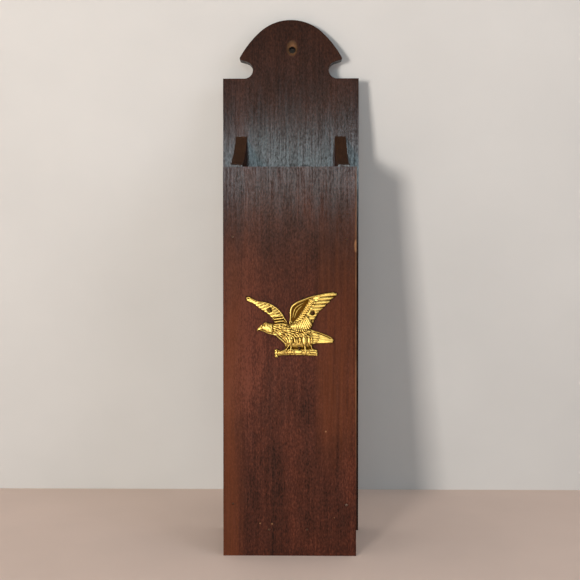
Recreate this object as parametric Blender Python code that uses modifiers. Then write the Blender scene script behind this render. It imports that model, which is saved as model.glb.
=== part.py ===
"""Wall match holder: a tall open-topped box of stained boards on a shaped backboard, with a brass eagle.

Metres, +Z up. The front faces -Y. The origin is under the middle of the whole object, on the surface that it
stands on. Every board, brad, pin and the ornament is an object of its own.
"""

import math

import bmesh
import bpy
from mathutils import Matrix, Vector

# Boards
BOARD_THICKNESS = 0.008
COMPARTMENT_WIDTH = 0.0625
COMPARTMENT_DEPTH = 0.0508
FRONT_HEIGHT = 0.2535
FRONT_OVERHANG = 0.00405
BACK_OVERHANG = 0.0091
BOTTOM_RECESS = 0.013
EASED_EDGE = 0.0004
JOINT_GAP = 0.0003

# Side boards, whose tops sweep up from the front board to the backboard
SIDE_STEP = 0.0021
SIDE_RISE = 0.0266
SIDE_SWEEP_DIP = 0.0036

# Backboard above the sides: shoulders, a notch at each side and a three-centred crown
SHOULDER_RISE = 0.0411
CROWN_HEIGHT = 0.0415
CROWN_RADIUS = 0.0329
CROWN_ARC_DEGREES = 42.0
FLANK_RADIUS = 0.0687
NOTCH_RADIUS = 0.0061
NOTCH_SETBACK = 0.0046
NOTCH_FLARE_DEGREES = 16.0
LOBE_ROUND = 0.0012

# Hanging hole, with the worn hollow round its mouth
HOLE_DROP = 0.0210
HOLE_OFFSET = 0.0010
HOLE_RADIUS = 0.0024
HOLLOW_RADIUS = 0.0036
HOLLOW_POINT = 0.0073
HOLLOW_DEPTH = 0.0009

# Brads that nail the boards together
BRAD_LENGTH = 0.020
BRAD_HEAD_RADIUS = 0.0010
BRAD_HEAD_DEPTH = 0.0009
BRAD_SHANK_RADIUS = 0.0006
BRAD_POINT = 0.0018
BRAD_SIDE_INSET = 0.0022
FRONT_BRAD_SHARES = {"left": (0.134, 0.821), "right": (0.1315, 0.814)}
BACK_BRAD_SHARES = (0.13, 0.5, 0.87)
BOTTOM_FRONT_BRAD_SHARES = {"left": -0.432, "right": 0.358}
BOTTOM_BACK_BRAD_SHARES = {"left": -0.4, "right": 0.4}
BOTTOM_SIDE_BRAD_SHARES = {"front": 0.3, "rear": 0.7}

# Brass eagle on the front board, and the domed pins through it
EAGLE_WIDTH = 0.0594
EAGLE_HEIGHT = 0.0427
EAGLE_OFFSET = 0.0012
EAGLE_CENTRE_SHARE = 0.595
EAGLE_RELIEF = 0.0032
EAGLE_SHEET = 0.0010
EAGLE_EDGE_ROUND = 0.0003
PLATE_STAGGER = 0.00003
FORM_SINK = 0.00007
WING_RISE = 0.0013
FEATHER_RISE = 0.0008
FEATHER_WIDTH = 0.0029
COVERT_WIDTH = 0.0034
COVERT_RISE = 0.0010
WING_EDGE_RADIUS = 0.0008
FORM_ROOT_SHARE = 0.6
PIN_HEAD_RADIUS = 0.0013
PIN_HEAD_RISE = 0.0008
PIN_SHANK_RADIUS = 0.0005
PIN_LENGTH = 0.0075
PIN_POINT = 0.0012
PIN_SHARES = {"left": (0.263, 0.7265), "right": (0.732, 0.684), "lower": (0.587, 0.150)}

# Outlines of the eagle's forms, as shares of its width and height from its lower left corner
LEFT_WING_SHARES = (
    (0.000, 0.900), (0.020, 0.938), (0.078, 0.902), (0.188, 0.855), (0.297, 0.807), (0.386, 0.703),
    (0.447, 0.570), (0.465, 0.490), (0.440, 0.400), (0.340, 0.420), (0.309, 0.545), (0.253, 0.651),
    (0.160, 0.740), (0.099, 0.806), (0.030, 0.855),
)  # fmt: skip
RIGHT_WING_SHARES = (
    (0.474, 0.500), (0.482, 0.613), (0.480, 0.690), (0.495, 0.779), (0.556, 0.857), (0.659, 0.915),
    (0.816, 0.973), (0.925, 0.998), (0.990, 0.990), (0.992, 0.947), (0.942, 0.895), (0.887, 0.820),
    (0.823, 0.725), (0.768, 0.620), (0.735, 0.508), (0.721, 0.430), (0.640, 0.360), (0.520, 0.400),
)  # fmt: skip
HEAD_SHARES = (
    (0.119, 0.408), (0.133, 0.447), (0.167, 0.494), (0.208, 0.538), (0.249, 0.534), (0.309, 0.522),
    (0.360, 0.500), (0.400, 0.400), (0.350, 0.330), (0.307, 0.345), (0.235, 0.366), (0.188, 0.402),
    (0.150, 0.402),
)  # fmt: skip
BODY_SHARES = (
    (0.310, 0.345), (0.330, 0.450), (0.450, 0.500), (0.600, 0.480), (0.715, 0.440), (0.740, 0.320),
    (0.732, 0.180), (0.728, 0.080), (0.475, 0.080), (0.447, 0.166), (0.423, 0.212), (0.379, 0.266),
)  # fmt: skip
TAIL_SHARES = (
    (0.660, 0.420), (0.730, 0.424), (0.816, 0.388), (0.918, 0.330), (0.955, 0.290), (0.962, 0.245),
    (0.945, 0.221), (0.857, 0.219), (0.754, 0.212), (0.680, 0.220),
)  # fmt: skip
PERCH_SHARES = (
    (0.314, 0.050), (0.311, 0.104), (0.334, 0.136), (0.365, 0.119), (0.420, 0.122), (0.600, 0.125),
    (0.735, 0.140), (0.778, 0.128), (0.788, 0.100), (0.788, 0.040), (0.740, 0.028), (0.584, 0.035),
    (0.400, 0.035), (0.362, 0.026), (0.340, 0.001), (0.318, 0.012),
)  # fmt: skip

# Raised forms on it: both ends, then the half widths near them as shares of the eagle's height
BODY_FORM_SHARES = ((0.310, 0.430), (0.770, 0.315), 0.140, 0.100)
BREAST_FORM_SHARES = ((0.300, 0.430), (0.560, 0.190), 0.090, 0.090)
NECK_FORM_SHARES = ((0.190, 0.470), (0.440, 0.410), 0.070, 0.100)
HEAD_FORM_SHARES = ((0.150, 0.452), (0.300, 0.465), 0.070, 0.070)
BEAK_FORM_SHARES = ((0.119, 0.408), (0.215, 0.470), 0.016, 0.044)
PERCH_FORM_SHARES = ((0.316, 0.075), (0.786, 0.082), 0.052, 0.052)
LEG_FORMS_SHARES = (
    ((0.560, 0.400), (0.450, 0.100), 0.085, 0.030),
    ((0.600, 0.420), (0.668, 0.045), 0.090, 0.032),
    ((0.680, 0.400), (0.716, 0.070), 0.070, 0.030),
)
TAIL_ROOTS_SHARES = ((0.690, 0.395), (0.690, 0.245))
TAIL_TIPS_SHARES = ((0.900, 0.335), (0.952, 0.295), (0.935, 0.236))
LEFT_ARM_SHARES = ((0.085, 0.885), (0.230, 0.835), (0.340, 0.720), (0.410, 0.560))
LEFT_TIPS_SHARES = ((0.010, 0.895), (0.095, 0.820), (0.200, 0.712), (0.320, 0.530))
LEFT_EDGE_SHARES = ((0.045, 0.912), (0.188, 0.838), (0.297, 0.787), (0.378, 0.690), (0.440, 0.555))
RIGHT_ARM_SHARES = ((0.540, 0.440), (0.590, 0.600), (0.680, 0.800), (0.790, 0.925))
RIGHT_TIPS_SHARES = ((0.722, 0.455), (0.770, 0.640), (0.895, 0.840), (0.985, 0.955))
LEFT_COVERT_STARTS_SHARES = ((0.290, 0.790), (0.355, 0.700), (0.400, 0.610), (0.425, 0.540))
LEFT_COVERT_ENDS_SHARES = ((0.200, 0.800), (0.265, 0.690), (0.310, 0.600), (0.335, 0.500))
RIGHT_COVERT_STARTS_SHARES = ((0.510, 0.450), (0.520, 0.600), (0.600, 0.760), (0.700, 0.890))
RIGHT_COVERT_ENDS_SHARES = ((0.620, 0.450), (0.650, 0.620), (0.740, 0.800), (0.840, 0.925))
RIGHT_EDGE_SHARES = (
    (0.494, 0.560), (0.494, 0.700), (0.510, 0.780), (0.570, 0.845), (0.670, 0.900), (0.820, 0.955),
    (0.960, 0.975),
)  # fmt: skip
LEFT_FEATHERS = 8
RIGHT_FEATHERS = 11
LEFT_COVERTS = 4
RIGHT_COVERTS = 9
TAIL_FEATHERS = 5

# Smoothness of the round forms
ROUND_SIDES = 10
FORM_SIDES = 16
FORM_RINGS = 8
FEATHER_SIDES = 8
FEATHER_RINGS = 4
STEPS_PER_SPAN = 3
ARC_STEP_DEGREES = 8.0
SMOOTH_UNDER_DEGREES = 40.0
CUT_OVERRUN = 0.002
WELD_WITHIN = 0.000001
FLAT_WITHIN_DEGREES = 0.1

# Finishes: colour, roughness, metallic
WOOD = ((0.066, 0.024, 0.014), 0.42, 0.0)
BRASS = ((0.72, 0.47, 0.13), 0.28, 1.0)
DARK_PIN = ((0.035, 0.025, 0.018), 0.45, 1.0)
STEEL = ((0.16, 0.13, 0.11), 0.5, 1.0)

# Places worked out from the sizes above
SIDE_OUTER = COMPARTMENT_WIDTH / 2 + BOARD_THICKNESS
FRONT_WIDTH = 2 * (SIDE_OUTER + FRONT_OVERHANG)
BACK_WIDTH = 2 * (SIDE_OUTER + BACK_OVERHANG)
SIDE_FRONT_HEIGHT = FRONT_HEIGHT + SIDE_STEP
SIDE_BACK_HEIGHT = SIDE_FRONT_HEIGHT + SIDE_RISE
SHOULDER_HEIGHT = SIDE_BACK_HEIGHT + SHOULDER_RISE
TOP_HEIGHT = SHOULDER_HEIGHT + CROWN_HEIGHT
OVERALL_DEPTH = EAGLE_RELIEF + JOINT_GAP + BOARD_THICKNESS + COMPARTMENT_DEPTH + BOARD_THICKNESS
BACK_FACE = OVERALL_DEPTH / 2
FRONT_FACE = EAGLE_RELIEF + JOINT_GAP - OVERALL_DEPTH / 2
COMPARTMENT_FRONT = FRONT_FACE + BOARD_THICKNESS
COMPARTMENT_BACK = COMPARTMENT_FRONT + COMPARTMENT_DEPTH
BOTTOM_MIDDLE = BOTTOM_RECESS + BOARD_THICKNESS / 2
EAGLE_BACK = FRONT_FACE - JOINT_GAP
EAGLE_LEFT = EAGLE_OFFSET - EAGLE_WIDTH / 2
EAGLE_BOTTOM = FRONT_HEIGHT * EAGLE_CENTRE_SHARE - EAGLE_HEIGHT / 2

FACING_FRONT = (math.pi / 2, 0.0, 0.0)
FACING_BACK = (-math.pi / 2, 0.0, 0.0)
FACING_LEFT = (0.0, -math.pi / 2, 0.0)
FACING_RIGHT = (0.0, math.pi / 2, 0.0)


def clear_scene():
    for obj in list(bpy.data.objects):
        bpy.data.objects.remove(obj, do_unlink=True)


def new_collection(name):
    collection = bpy.data.collections.new(name)
    bpy.context.scene.collection.children.link(collection)
    return collection


def place(name, data, collection, location=(0.0, 0.0, 0.0), rotation=(0.0, 0.0, 0.0)):
    obj = bpy.data.objects.new(name, data)
    collection.objects.link(obj)
    obj.location = location
    obj.rotation_euler = rotation
    return obj


def as_part(obj, holder, look):
    """Hangs a finished piece on the holder's empty and gives it a material of its own."""
    colour, roughness, metallic = look
    material = bpy.data.materials.new(obj.name + "_finish")
    material.use_nodes = True
    shader = material.node_tree.nodes["Principled BSDF"]
    shader.inputs["Base Color"].default_value = (*colour, 1.0)
    shader.inputs["Roughness"].default_value = roughness
    shader.inputs["Metallic"].default_value = metallic
    material.diffuse_color = (*colour, 1.0)
    obj.data.materials.append(material)
    obj.parent = holder
    return obj


def as_helper(obj):
    """A cutter or a form that a Boolean reads, which isn't a piece itself."""
    obj.hide_render = True
    obj.display_type = "WIRE"
    return obj


def arc(centre, radius, start_degrees, end_degrees):
    """Points on an arc, the last one included."""
    steps = max(2, math.ceil(abs(end_degrees - start_degrees) / ARC_STEP_DEGREES))
    points = []
    for step in range(steps + 1):
        angle = math.radians(start_degrees + (end_degrees - start_degrees) * step / steps)
        points.append(centre + radius * Vector((math.cos(angle), math.sin(angle))))
    return points


def smooth_through(points, closed):
    """A curve that passes through every point, with STEPS_PER_SPAN points to each span."""
    count = len(points)
    spans = count if closed else count - 1
    curve = []
    for span in range(spans):
        if closed:
            before, start, end, after = (points[(span + shift) % count] for shift in (-1, 0, 1, 2))
        else:
            start, end = points[span], points[span + 1]
            before = points[span - 1] if span else start
            after = points[span + 2] if span + 2 < count else end
        for step in range(STEPS_PER_SPAN):
            t = step / STEPS_PER_SPAN
            leaving = (end - before) * (t - 2 * t**2 + t**3)
            arriving = (after - start) * (t**3 - t**2)
            ease = 3 * t**2 - 2 * t**3
            curve.append(start.lerp(end, ease) + (leaving + arriving) / 2)
    if not closed:
        curve.append(points[-1])
    return curve


def mesh_of_curve(obj, collection):
    """The curve object's evaluated shape as a mesh object in its place, with each cap one welded face."""
    bpy.context.view_layer.update()
    graph = bpy.context.evaluated_depsgraph_get()
    mesh = bpy.data.meshes.new_from_object(obj.evaluated_get(graph))
    shape = bmesh.new()
    shape.from_mesh(mesh)
    bmesh.ops.remove_doubles(shape, verts=shape.verts, dist=WELD_WITHIN)
    flat = math.radians(FLAT_WITHIN_DEGREES)
    bmesh.ops.dissolve_limit(shape, angle_limit=flat, verts=shape.verts, edges=shape.edges)
    bmesh.ops.recalc_face_normals(shape, faces=shape.faces)
    shape.to_mesh(mesh)
    shape.free()
    name = obj.name
    matrix = obj.matrix_world.copy()
    curve = obj.data
    bpy.data.objects.remove(obj, do_unlink=True)
    bpy.data.curves.remove(curve)
    made = bpy.data.objects.new(name, mesh)
    collection.objects.link(made)
    made.matrix_world = matrix
    return made


def flat_piece(name, outline, front_y, thickness, collection):
    """A plate whose outline is in X and Z, from its front face at front_y back by its thickness."""
    curve = bpy.data.curves.new(name, "CURVE")
    curve.dimensions = "2D"
    curve.fill_mode = "BOTH"
    curve.extrude = thickness / 2
    spline = curve.splines.new("POLY")
    spline.points.add(len(outline) - 1)
    for point, (x, z) in zip(spline.points, outline):
        point.co = (x, z, 0.0, 1.0)
    spline.use_cyclic_u = True
    obj = place(name, curve, collection, (0.0, front_y + thickness / 2, 0.0), FACING_FRONT)
    return mesh_of_curve(obj, collection)


def round_bar(name, route, radius, collection):
    """A round bar along a route of points in space."""
    curve = bpy.data.curves.new(name, "CURVE")
    curve.dimensions = "3D"
    curve.bevel_depth = radius
    curve.bevel_resolution = 1
    curve.use_fill_caps = True
    spline = curve.splines.new("POLY")
    spline.points.add(len(route) - 1)
    for point, place_on_route in zip(spline.points, route):
        point.co = (*place_on_route, 1.0)
    return mesh_of_curve(place(name, curve, collection), collection)


def turned(name, profile, sides, collection, location, rotation):
    """A solid turned about local Z from a profile of radius and height, which runs from its top down."""
    mesh = bpy.data.meshes.new(name)
    points = [(radius, 0.0, height) for radius, height in profile]
    edges = [(index, index + 1) for index in range(len(profile) - 1)]
    mesh.from_pydata(points, edges, [])
    obj = place(name, mesh, collection, location, rotation)
    screw = obj.modifiers.new("turn", "SCREW")
    screw.steps = sides
    screw.render_steps = sides
    screw.use_merge_vertices = True
    screw.merge_threshold = WELD_WITHIN
    screw.use_smooth_shade = True
    return obj


def ease_edges(obj, width):
    bevel = obj.modifiers.new("eased_edges", "BEVEL")
    bevel.width = width
    bevel.segments = 2
    bevel.limit_method = "ANGLE"
    bevel.angle_limit = math.radians(SMOOTH_UNDER_DEGREES)


def apply_boolean(obj, operation, collection):
    boolean = obj.modifiers.new(collection.name, "BOOLEAN")
    boolean.operation = operation
    boolean.operand_type = "COLLECTION"
    boolean.collection = collection
    boolean.solver = "EXACT"


def smooth_faces(obj):
    """Round stretches shade smoothly, and flat faces stay flat."""
    obj.data.shade_smooth()
    obj.data.set_sharp_from_angle(angle=math.radians(SMOOTH_UNDER_DEGREES))
    weights = obj.modifiers.new("flat_faces", "WEIGHTED_NORMAL")
    weights.keep_sharp = True


def box_board(name, size, centre, collection):
    mesh = bpy.data.meshes.new(name)
    shape = bmesh.new()
    bmesh.ops.create_cube(shape, size=1.0, matrix=Matrix.Diagonal((*size, 1.0)))
    shape.to_mesh(mesh)
    shape.free()
    obj = place(name, mesh, collection, centre)
    ease_edges(obj, EASED_EDGE)
    return obj


def front_board(collection):
    size = (FRONT_WIDTH, BOARD_THICKNESS, FRONT_HEIGHT)
    centre = (0.0, FRONT_FACE + size[1] / 2, FRONT_HEIGHT / 2)
    return box_board("front_board", size, centre, collection)


def bottom_board(collection):
    size = (COMPARTMENT_WIDTH - 2 * JOINT_GAP, COMPARTMENT_DEPTH - 2 * JOINT_GAP, BOARD_THICKNESS)
    centre = (0.0, (COMPARTMENT_FRONT + COMPARTMENT_BACK) / 2, BOTTOM_MIDDLE)
    return box_board("bottom_board", size, centre, collection)


def side_outline():
    """The side board seen from the left or right, as depth behind its front edge and height."""
    depth = COMPARTMENT_DEPTH - 2 * JOINT_GAP
    front_top = Vector((0.0, SIDE_FRONT_HEIGHT))
    back_top = Vector((depth, SIDE_BACK_HEIGHT))
    chord = back_top - front_top
    radius = (chord.length**2 / 4 + SIDE_SWEEP_DIP**2) / (2 * SIDE_SWEEP_DIP)
    upward = Vector((-chord.y, chord.x)).normalized()
    centre = (front_top + back_top) / 2 + upward * (radius - SIDE_SWEEP_DIP)
    start = math.degrees(math.atan2(*(front_top - centre).yx))
    end = math.degrees(math.atan2(*(back_top - centre).yx))
    sweep = arc(centre, radius, start, end)
    return [Vector((0.0, 0.0)), *sweep, Vector((depth, 0.0))]


def side_board(name, side, collection):
    """side is -1 for the left board and 1 for the right one."""
    obj = flat_piece(name, side_outline(), -BOARD_THICKNESS / 2, BOARD_THICKNESS, collection)
    obj.rotation_euler = (math.pi / 2, 0.0, math.pi / 2)
    middle = side * (SIDE_OUTER - BOARD_THICKNESS / 2)
    obj.location = (middle, COMPARTMENT_FRONT + JOINT_GAP, 0.0)
    ease_edges(obj, EASED_EDGE)
    return obj


def backboard_outline():
    """The backboard seen from the front: the right half from the crown's top down, then its mirror image."""
    turn = math.radians(CROWN_ARC_DEGREES)
    flare = math.radians(NOTCH_FLARE_DEGREES)
    crown_centre = Vector((0.0, TOP_HEIGHT - CROWN_RADIUS))
    flank_centre = crown_centre - (FLANK_RADIUS - CROWN_RADIUS) * Vector((math.sin(turn), math.cos(turn)))
    above_flank_centre = SHOULDER_HEIGHT + 2 * NOTCH_RADIUS - flank_centre.y
    flank_x = flank_centre.x + math.sqrt(FLANK_RADIUS**2 - above_flank_centre**2)
    notch_centre = Vector((flank_x - NOTCH_SETBACK, SHOULDER_HEIGHT + NOTCH_RADIUS))

    # The lobe's tip rounds from the flank into the notch's flared upper edge
    along = Vector((math.cos(flare), math.sin(flare)))
    across = Vector((-math.sin(flare), math.cos(flare)))
    from_flank = notch_centre + across * (NOTCH_RADIUS + LOBE_ROUND) - flank_centre
    lean = from_flank.dot(along)
    reach = FLANK_RADIUS - LOBE_ROUND
    run = math.sqrt(lean**2 - from_flank.length_squared + reach**2) - lean
    lobe_centre = flank_centre + from_flank + along * run
    lobe_start = math.degrees(math.atan2(*(lobe_centre - flank_centre).yx))

    half = [
        *arc(crown_centre, CROWN_RADIUS, 90.0, 90.0 - CROWN_ARC_DEGREES),
        *arc(flank_centre, FLANK_RADIUS, 90.0 - CROWN_ARC_DEGREES, lobe_start)[1:],
        *arc(lobe_centre, LOBE_ROUND, lobe_start, NOTCH_FLARE_DEGREES - 90.0)[1:],
        *arc(notch_centre, NOTCH_RADIUS, 90.0 + NOTCH_FLARE_DEGREES, 270.0),
        Vector((BACK_WIDTH / 2, SHOULDER_HEIGHT)),
        Vector((BACK_WIDTH / 2, 0.0)),
    ]
    mirrored = [Vector((-x, z)) for x, z in reversed(half[1:])]
    return half + mirrored


def hanging_hole(cutters):
    """The hole for the wall's nail, and the pear-shaped hollow that wear has left round its mouth."""
    centre = Vector((HOLE_OFFSET, TOP_HEIGHT - HOLE_DROP))
    lean = math.degrees(math.acos(HOLLOW_RADIUS / HOLLOW_POINT))
    outline = [
        *arc(centre, HOLLOW_RADIUS, 90.0 + lean, 450.0 - lean),
        centre + Vector((0.0, HOLLOW_POINT)),
    ]
    hollow = flat_piece("hanging_hollow", outline, COMPARTMENT_BACK - HOLLOW_DEPTH, 2 * HOLLOW_DEPTH, cutters)
    as_helper(hollow)
    reach = BOARD_THICKNESS + 2 * CUT_OVERRUN
    profile = ((0.0, reach), (HOLE_RADIUS, reach), (HOLE_RADIUS, 0.0), (0.0, 0.0))
    mouth = (centre.x, BACK_FACE + CUT_OVERRUN, centre.y)
    as_helper(turned("hanging_hole", profile, 2 * ROUND_SIDES, cutters, mouth, FACING_FRONT))


def back_board(collection, cutters):
    obj = flat_piece("back_board", backboard_outline(), COMPARTMENT_BACK, BOARD_THICKNESS, collection)
    ease_edges(obj, EASED_EDGE)
    hanging_hole(cutters)
    apply_boolean(obj, "DIFFERENCE", cutters)
    return obj


def brad_profile(clearance):
    """A brad from its head's face down to its point; a clearance makes it the hole that it sits in."""
    head = BRAD_HEAD_RADIUS + clearance
    shank = BRAD_SHANK_RADIUS + clearance
    outside = CUT_OVERRUN if clearance else 0.0
    neck = -BRAD_HEAD_DEPTH - clearance
    end = -BRAD_LENGTH - clearance
    return (
        (0.0, outside), (head, outside), (head, neck), (shank, neck - BRAD_SHANK_RADIUS / 2),
        (shank, end + BRAD_POINT), (0.0, end),
    )  # fmt: skip


def brad(name, location, rotation, collection, holes, holder):
    obj = turned(name, brad_profile(0.0), ROUND_SIDES, collection, location, rotation)
    as_part(obj, holder, STEEL)
    hole = turned(name + "_hole", brad_profile(JOINT_GAP), ROUND_SIDES, holes, location, rotation)
    as_helper(hole)


def brads(collection, holes, holder):
    """Brads through the front board and backboard into the sides, and through every wall into the bottom."""
    for side, sign in (("left", -1), ("right", 1)):
        across = sign * (SIDE_OUTER - BRAD_SIDE_INSET)
        for row, share in zip(("lower", "upper"), FRONT_BRAD_SHARES[side]):
            head = (across, FRONT_FACE, share * FRONT_HEIGHT)
            brad(f"front_brad_{side}_{row}", head, FACING_FRONT, collection, holes, holder)
        for row, share in zip(("lower", "middle", "upper"), BACK_BRAD_SHARES):
            head = (across, BACK_FACE, share * SIDE_BACK_HEIGHT)
            brad(f"back_brad_{side}_{row}", head, FACING_BACK, collection, holes, holder)
        head = (BOTTOM_FRONT_BRAD_SHARES[side] * COMPARTMENT_WIDTH / 2, FRONT_FACE, BOTTOM_MIDDLE)
        brad(f"bottom_brad_front_{side}", head, FACING_FRONT, collection, holes, holder)
        head = (BOTTOM_BACK_BRAD_SHARES[side] * COMPARTMENT_WIDTH / 2, BACK_FACE, BOTTOM_MIDDLE)
        brad(f"bottom_brad_back_{side}", head, FACING_BACK, collection, holes, holder)
        facing = FACING_LEFT if sign < 0 else FACING_RIGHT
        for row, share in BOTTOM_SIDE_BRAD_SHARES.items():
            head = (sign * SIDE_OUTER, COMPARTMENT_FRONT + share * COMPARTMENT_DEPTH, BOTTOM_MIDDLE)
            brad(f"bottom_brad_{side}_{row}", head, facing, collection, holes, holder)


def eagle_point(shares):
    across, up = shares
    return Vector((EAGLE_LEFT + across * EAGLE_WIDTH, EAGLE_BOTTOM + up * EAGLE_HEIGHT))


def eagle_plate(name, shares, rise, layer, collection):
    """A plate of the ornament. Each layer stands a little forward, so that no two plates' faces coincide."""
    outline = smooth_through([eagle_point(share) for share in shares], closed=True)
    return flat_piece(name, outline, EAGLE_BACK - layer * PLATE_STAGGER - rise, rise, collection)


def raised_form(name, start, end, widths, base, rise, facets, forms):
    """A long rounded form on a plate that is base thick, whose crest is rise above the plate.

    widths are its half widths towards the two ends, and facets its sides round and rings along.
    """
    level = base - FORM_SINK
    middle = (start + end) / 2
    direction = end - start
    sides, rings = facets
    mesh = bpy.data.meshes.new(name)
    shape = bmesh.new()
    bmesh.ops.create_uvsphere(shape, u_segments=sides, v_segments=rings, radius=1.0)
    for vert in shape.verts:
        vert.co.x *= widths[0] + (widths[1] - widths[0]) * (vert.co.z + 1.0) / 2.0
        vert.co.y *= rise + FORM_SINK if vert.co.y < 0.0 else FORM_ROOT_SHARE * level
        vert.co.z *= direction.length / 2.0
    turn = Matrix.Rotation(math.atan2(direction.x, direction.y), 4, "Y")
    bmesh.ops.transform(shape, matrix=turn, verts=shape.verts)
    shape.to_mesh(mesh)
    shape.free()
    return as_helper(place(name, mesh, forms, (middle.x, EAGLE_BACK - level, middle.y)))


def feathers(name, roots, tips, count, width, rise, forms):
    """Feathers fanned from one line of roots to one line of tips."""
    root_line = smooth_through([eagle_point(share) for share in roots], closed=False)
    tip_line = smooth_through([eagle_point(share) for share in tips], closed=False)
    facets = (FEATHER_SIDES, FEATHER_RINGS)
    for number in range(count):
        share = number / (count - 1)
        start = point_along(root_line, share)
        end = point_along(tip_line, share)
        half_widths = (width / 2, width / 2)
        raised_form(f"{name}_{number + 1}", start, end, half_widths, WING_RISE, rise, facets, forms)


def point_along(line, share):
    place_on_line = share * (len(line) - 1)
    index = min(int(place_on_line), len(line) - 2)
    return line[index].lerp(line[index + 1], place_on_line - index)


def wing_edge(name, shares, forms):
    route = smooth_through([eagle_point(share) for share in shares], closed=False)
    level = EAGLE_BACK - WING_RISE
    spots = [Vector((point.x, level, point.y)) for point in route]
    as_helper(round_bar(name, spots, WING_EDGE_RADIUS, forms))


def eagle(collection, forms, holes):
    """The pressed ornament: a flat plate for each of its parts, with the raised forms joined to them."""
    obj = eagle_plate("brass_eagle", BODY_SHARES, EAGLE_SHEET, 0, collection)
    plates = {
        "left_wing": (LEFT_WING_SHARES, WING_RISE),
        "right_wing": (RIGHT_WING_SHARES, WING_RISE),
        "head": (HEAD_SHARES, WING_RISE),
        "tail": (TAIL_SHARES, WING_RISE),
        "perch": (PERCH_SHARES, EAGLE_SHEET + EAGLE_EDGE_ROUND),
    }
    for layer, (name, (shares, rise)) in enumerate(plates.items(), start=1):
        plate = as_helper(eagle_plate(name, shares, rise, layer, forms))
        ease_edges(plate, EAGLE_EDGE_ROUND)

    crests = {
        "body": (BODY_FORM_SHARES, EAGLE_RELIEF),
        "breast": (BREAST_FORM_SHARES, EAGLE_RELIEF - EAGLE_EDGE_ROUND),
        "neck": (NECK_FORM_SHARES, EAGLE_RELIEF - EAGLE_EDGE_ROUND),
        "head_crest": (HEAD_FORM_SHARES, EAGLE_RELIEF - EAGLE_EDGE_ROUND),
        "beak": (BEAK_FORM_SHARES, EAGLE_SHEET + WING_RISE),
        "perch_log": (PERCH_FORM_SHARES, EAGLE_SHEET + WING_RISE),
    }
    for number, leg in enumerate(LEG_FORMS_SHARES):
        crests[f"leg_{number + 1}"] = (leg, EAGLE_RELIEF - EAGLE_EDGE_ROUND)
    for name, ((start, end, *width_shares), crest) in crests.items():
        half_widths = [share * EAGLE_HEIGHT for share in width_shares]
        ends = (eagle_point(start), eagle_point(end))
        facets = (FORM_SIDES, FORM_RINGS)
        raised_form(name, *ends, half_widths, EAGLE_SHEET, crest - EAGLE_SHEET, facets, forms)

    rows = {
        "left_feather": (LEFT_ARM_SHARES, LEFT_TIPS_SHARES, LEFT_FEATHERS, FEATHER_WIDTH, FEATHER_RISE),
        "right_feather": (RIGHT_ARM_SHARES, RIGHT_TIPS_SHARES, RIGHT_FEATHERS, FEATHER_WIDTH, FEATHER_RISE),
        "left_covert": (
            LEFT_COVERT_STARTS_SHARES, LEFT_COVERT_ENDS_SHARES, LEFT_COVERTS, COVERT_WIDTH, COVERT_RISE,
        ),
        "right_covert": (
            RIGHT_COVERT_STARTS_SHARES, RIGHT_COVERT_ENDS_SHARES, RIGHT_COVERTS, COVERT_WIDTH, COVERT_RISE,
        ),
        "tail_feather": (TAIL_ROOTS_SHARES, TAIL_TIPS_SHARES, TAIL_FEATHERS, FEATHER_WIDTH, FEATHER_RISE),
    }  # fmt: skip
    for name, row in rows.items():
        feathers(name, *row, forms)
    wing_edge("left_wing_edge", LEFT_EDGE_SHARES, forms)
    wing_edge("right_wing_edge", RIGHT_EDGE_SHARES, forms)
    apply_boolean(obj, "UNION", forms)
    apply_boolean(obj, "DIFFERENCE", holes)
    return obj


def pin_profile(clearance):
    """A domed pin from its crown down to its point, measured from the underside of its head."""
    shank = PIN_SHANK_RADIUS + clearance
    end = -PIN_LENGTH - clearance
    if clearance:
        return ((0.0, CUT_OVERRUN), (shank, CUT_OVERRUN), (shank, end + PIN_POINT), (0.0, end))
    shoulder = Vector((PIN_HEAD_RADIUS, 0.0))
    crown = Vector((0.0, PIN_HEAD_RISE))
    slope = crown.lerp(shoulder, 0.5) * math.sqrt(2)
    return (crown, slope, shoulder, (shank, 0.0), (shank, end + PIN_POINT), (0.0, end))


def pins(collection, holes, holder):
    for name, shares in PIN_SHARES.items():
        spot = eagle_point(shares)
        under_head = (spot.x, EAGLE_BACK - WING_RISE - FEATHER_RISE - JOINT_GAP, spot.y)
        name = f"eagle_pin_{name}"
        pin = turned(name, pin_profile(0.0), ROUND_SIDES, collection, under_head, FACING_FRONT)
        as_part(pin, holder, DARK_PIN)
        profile = pin_profile(JOINT_GAP)
        as_helper(turned(name + "_hole", profile, ROUND_SIDES, holes, under_head, FACING_FRONT))


def main():
    clear_scene()
    parts = new_collection("wall_match_holder")
    hole_cutters = new_collection("hanging_hole_cutters")
    brad_holes = new_collection("brad_hole_cutters")
    pin_holes = new_collection("pin_hole_cutters")
    eagle_forms = new_collection("eagle_forms")
    holder = place("match_holder", None, parts)

    boards = [
        front_board(parts),
        back_board(parts, hole_cutters),
        side_board("left_side", -1, parts),
        side_board("right_side", 1, parts),
        bottom_board(parts),
    ]
    apply_boolean(boards[0], "DIFFERENCE", pin_holes)
    ornament = eagle(parts, eagle_forms, pin_holes)
    brads(parts, brad_holes, holder)
    pins(parts, pin_holes, holder)
    for board in boards:
        apply_boolean(board, "DIFFERENCE", brad_holes)
        smooth_faces(board)
        as_part(board, holder, WOOD)
    smooth_faces(ornament)
    as_part(ornament, holder, BRASS)


main()
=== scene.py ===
"""Wall match holder: stained boards nailed into a tall open box on a shaped backboard, with a pressed brass eagle.

Metres, +Z up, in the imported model's own frame. The front faces -Y.
"""

import math
from contextlib import contextmanager

import bmesh
import bpy
import numpy as np
from bpy.props import FloatProperty, FloatVectorProperty, IntProperty, PointerProperty
from bpy.types import Operator, Panel, PropertyGroup
from mathutils import Matrix, Vector, noise


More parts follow.
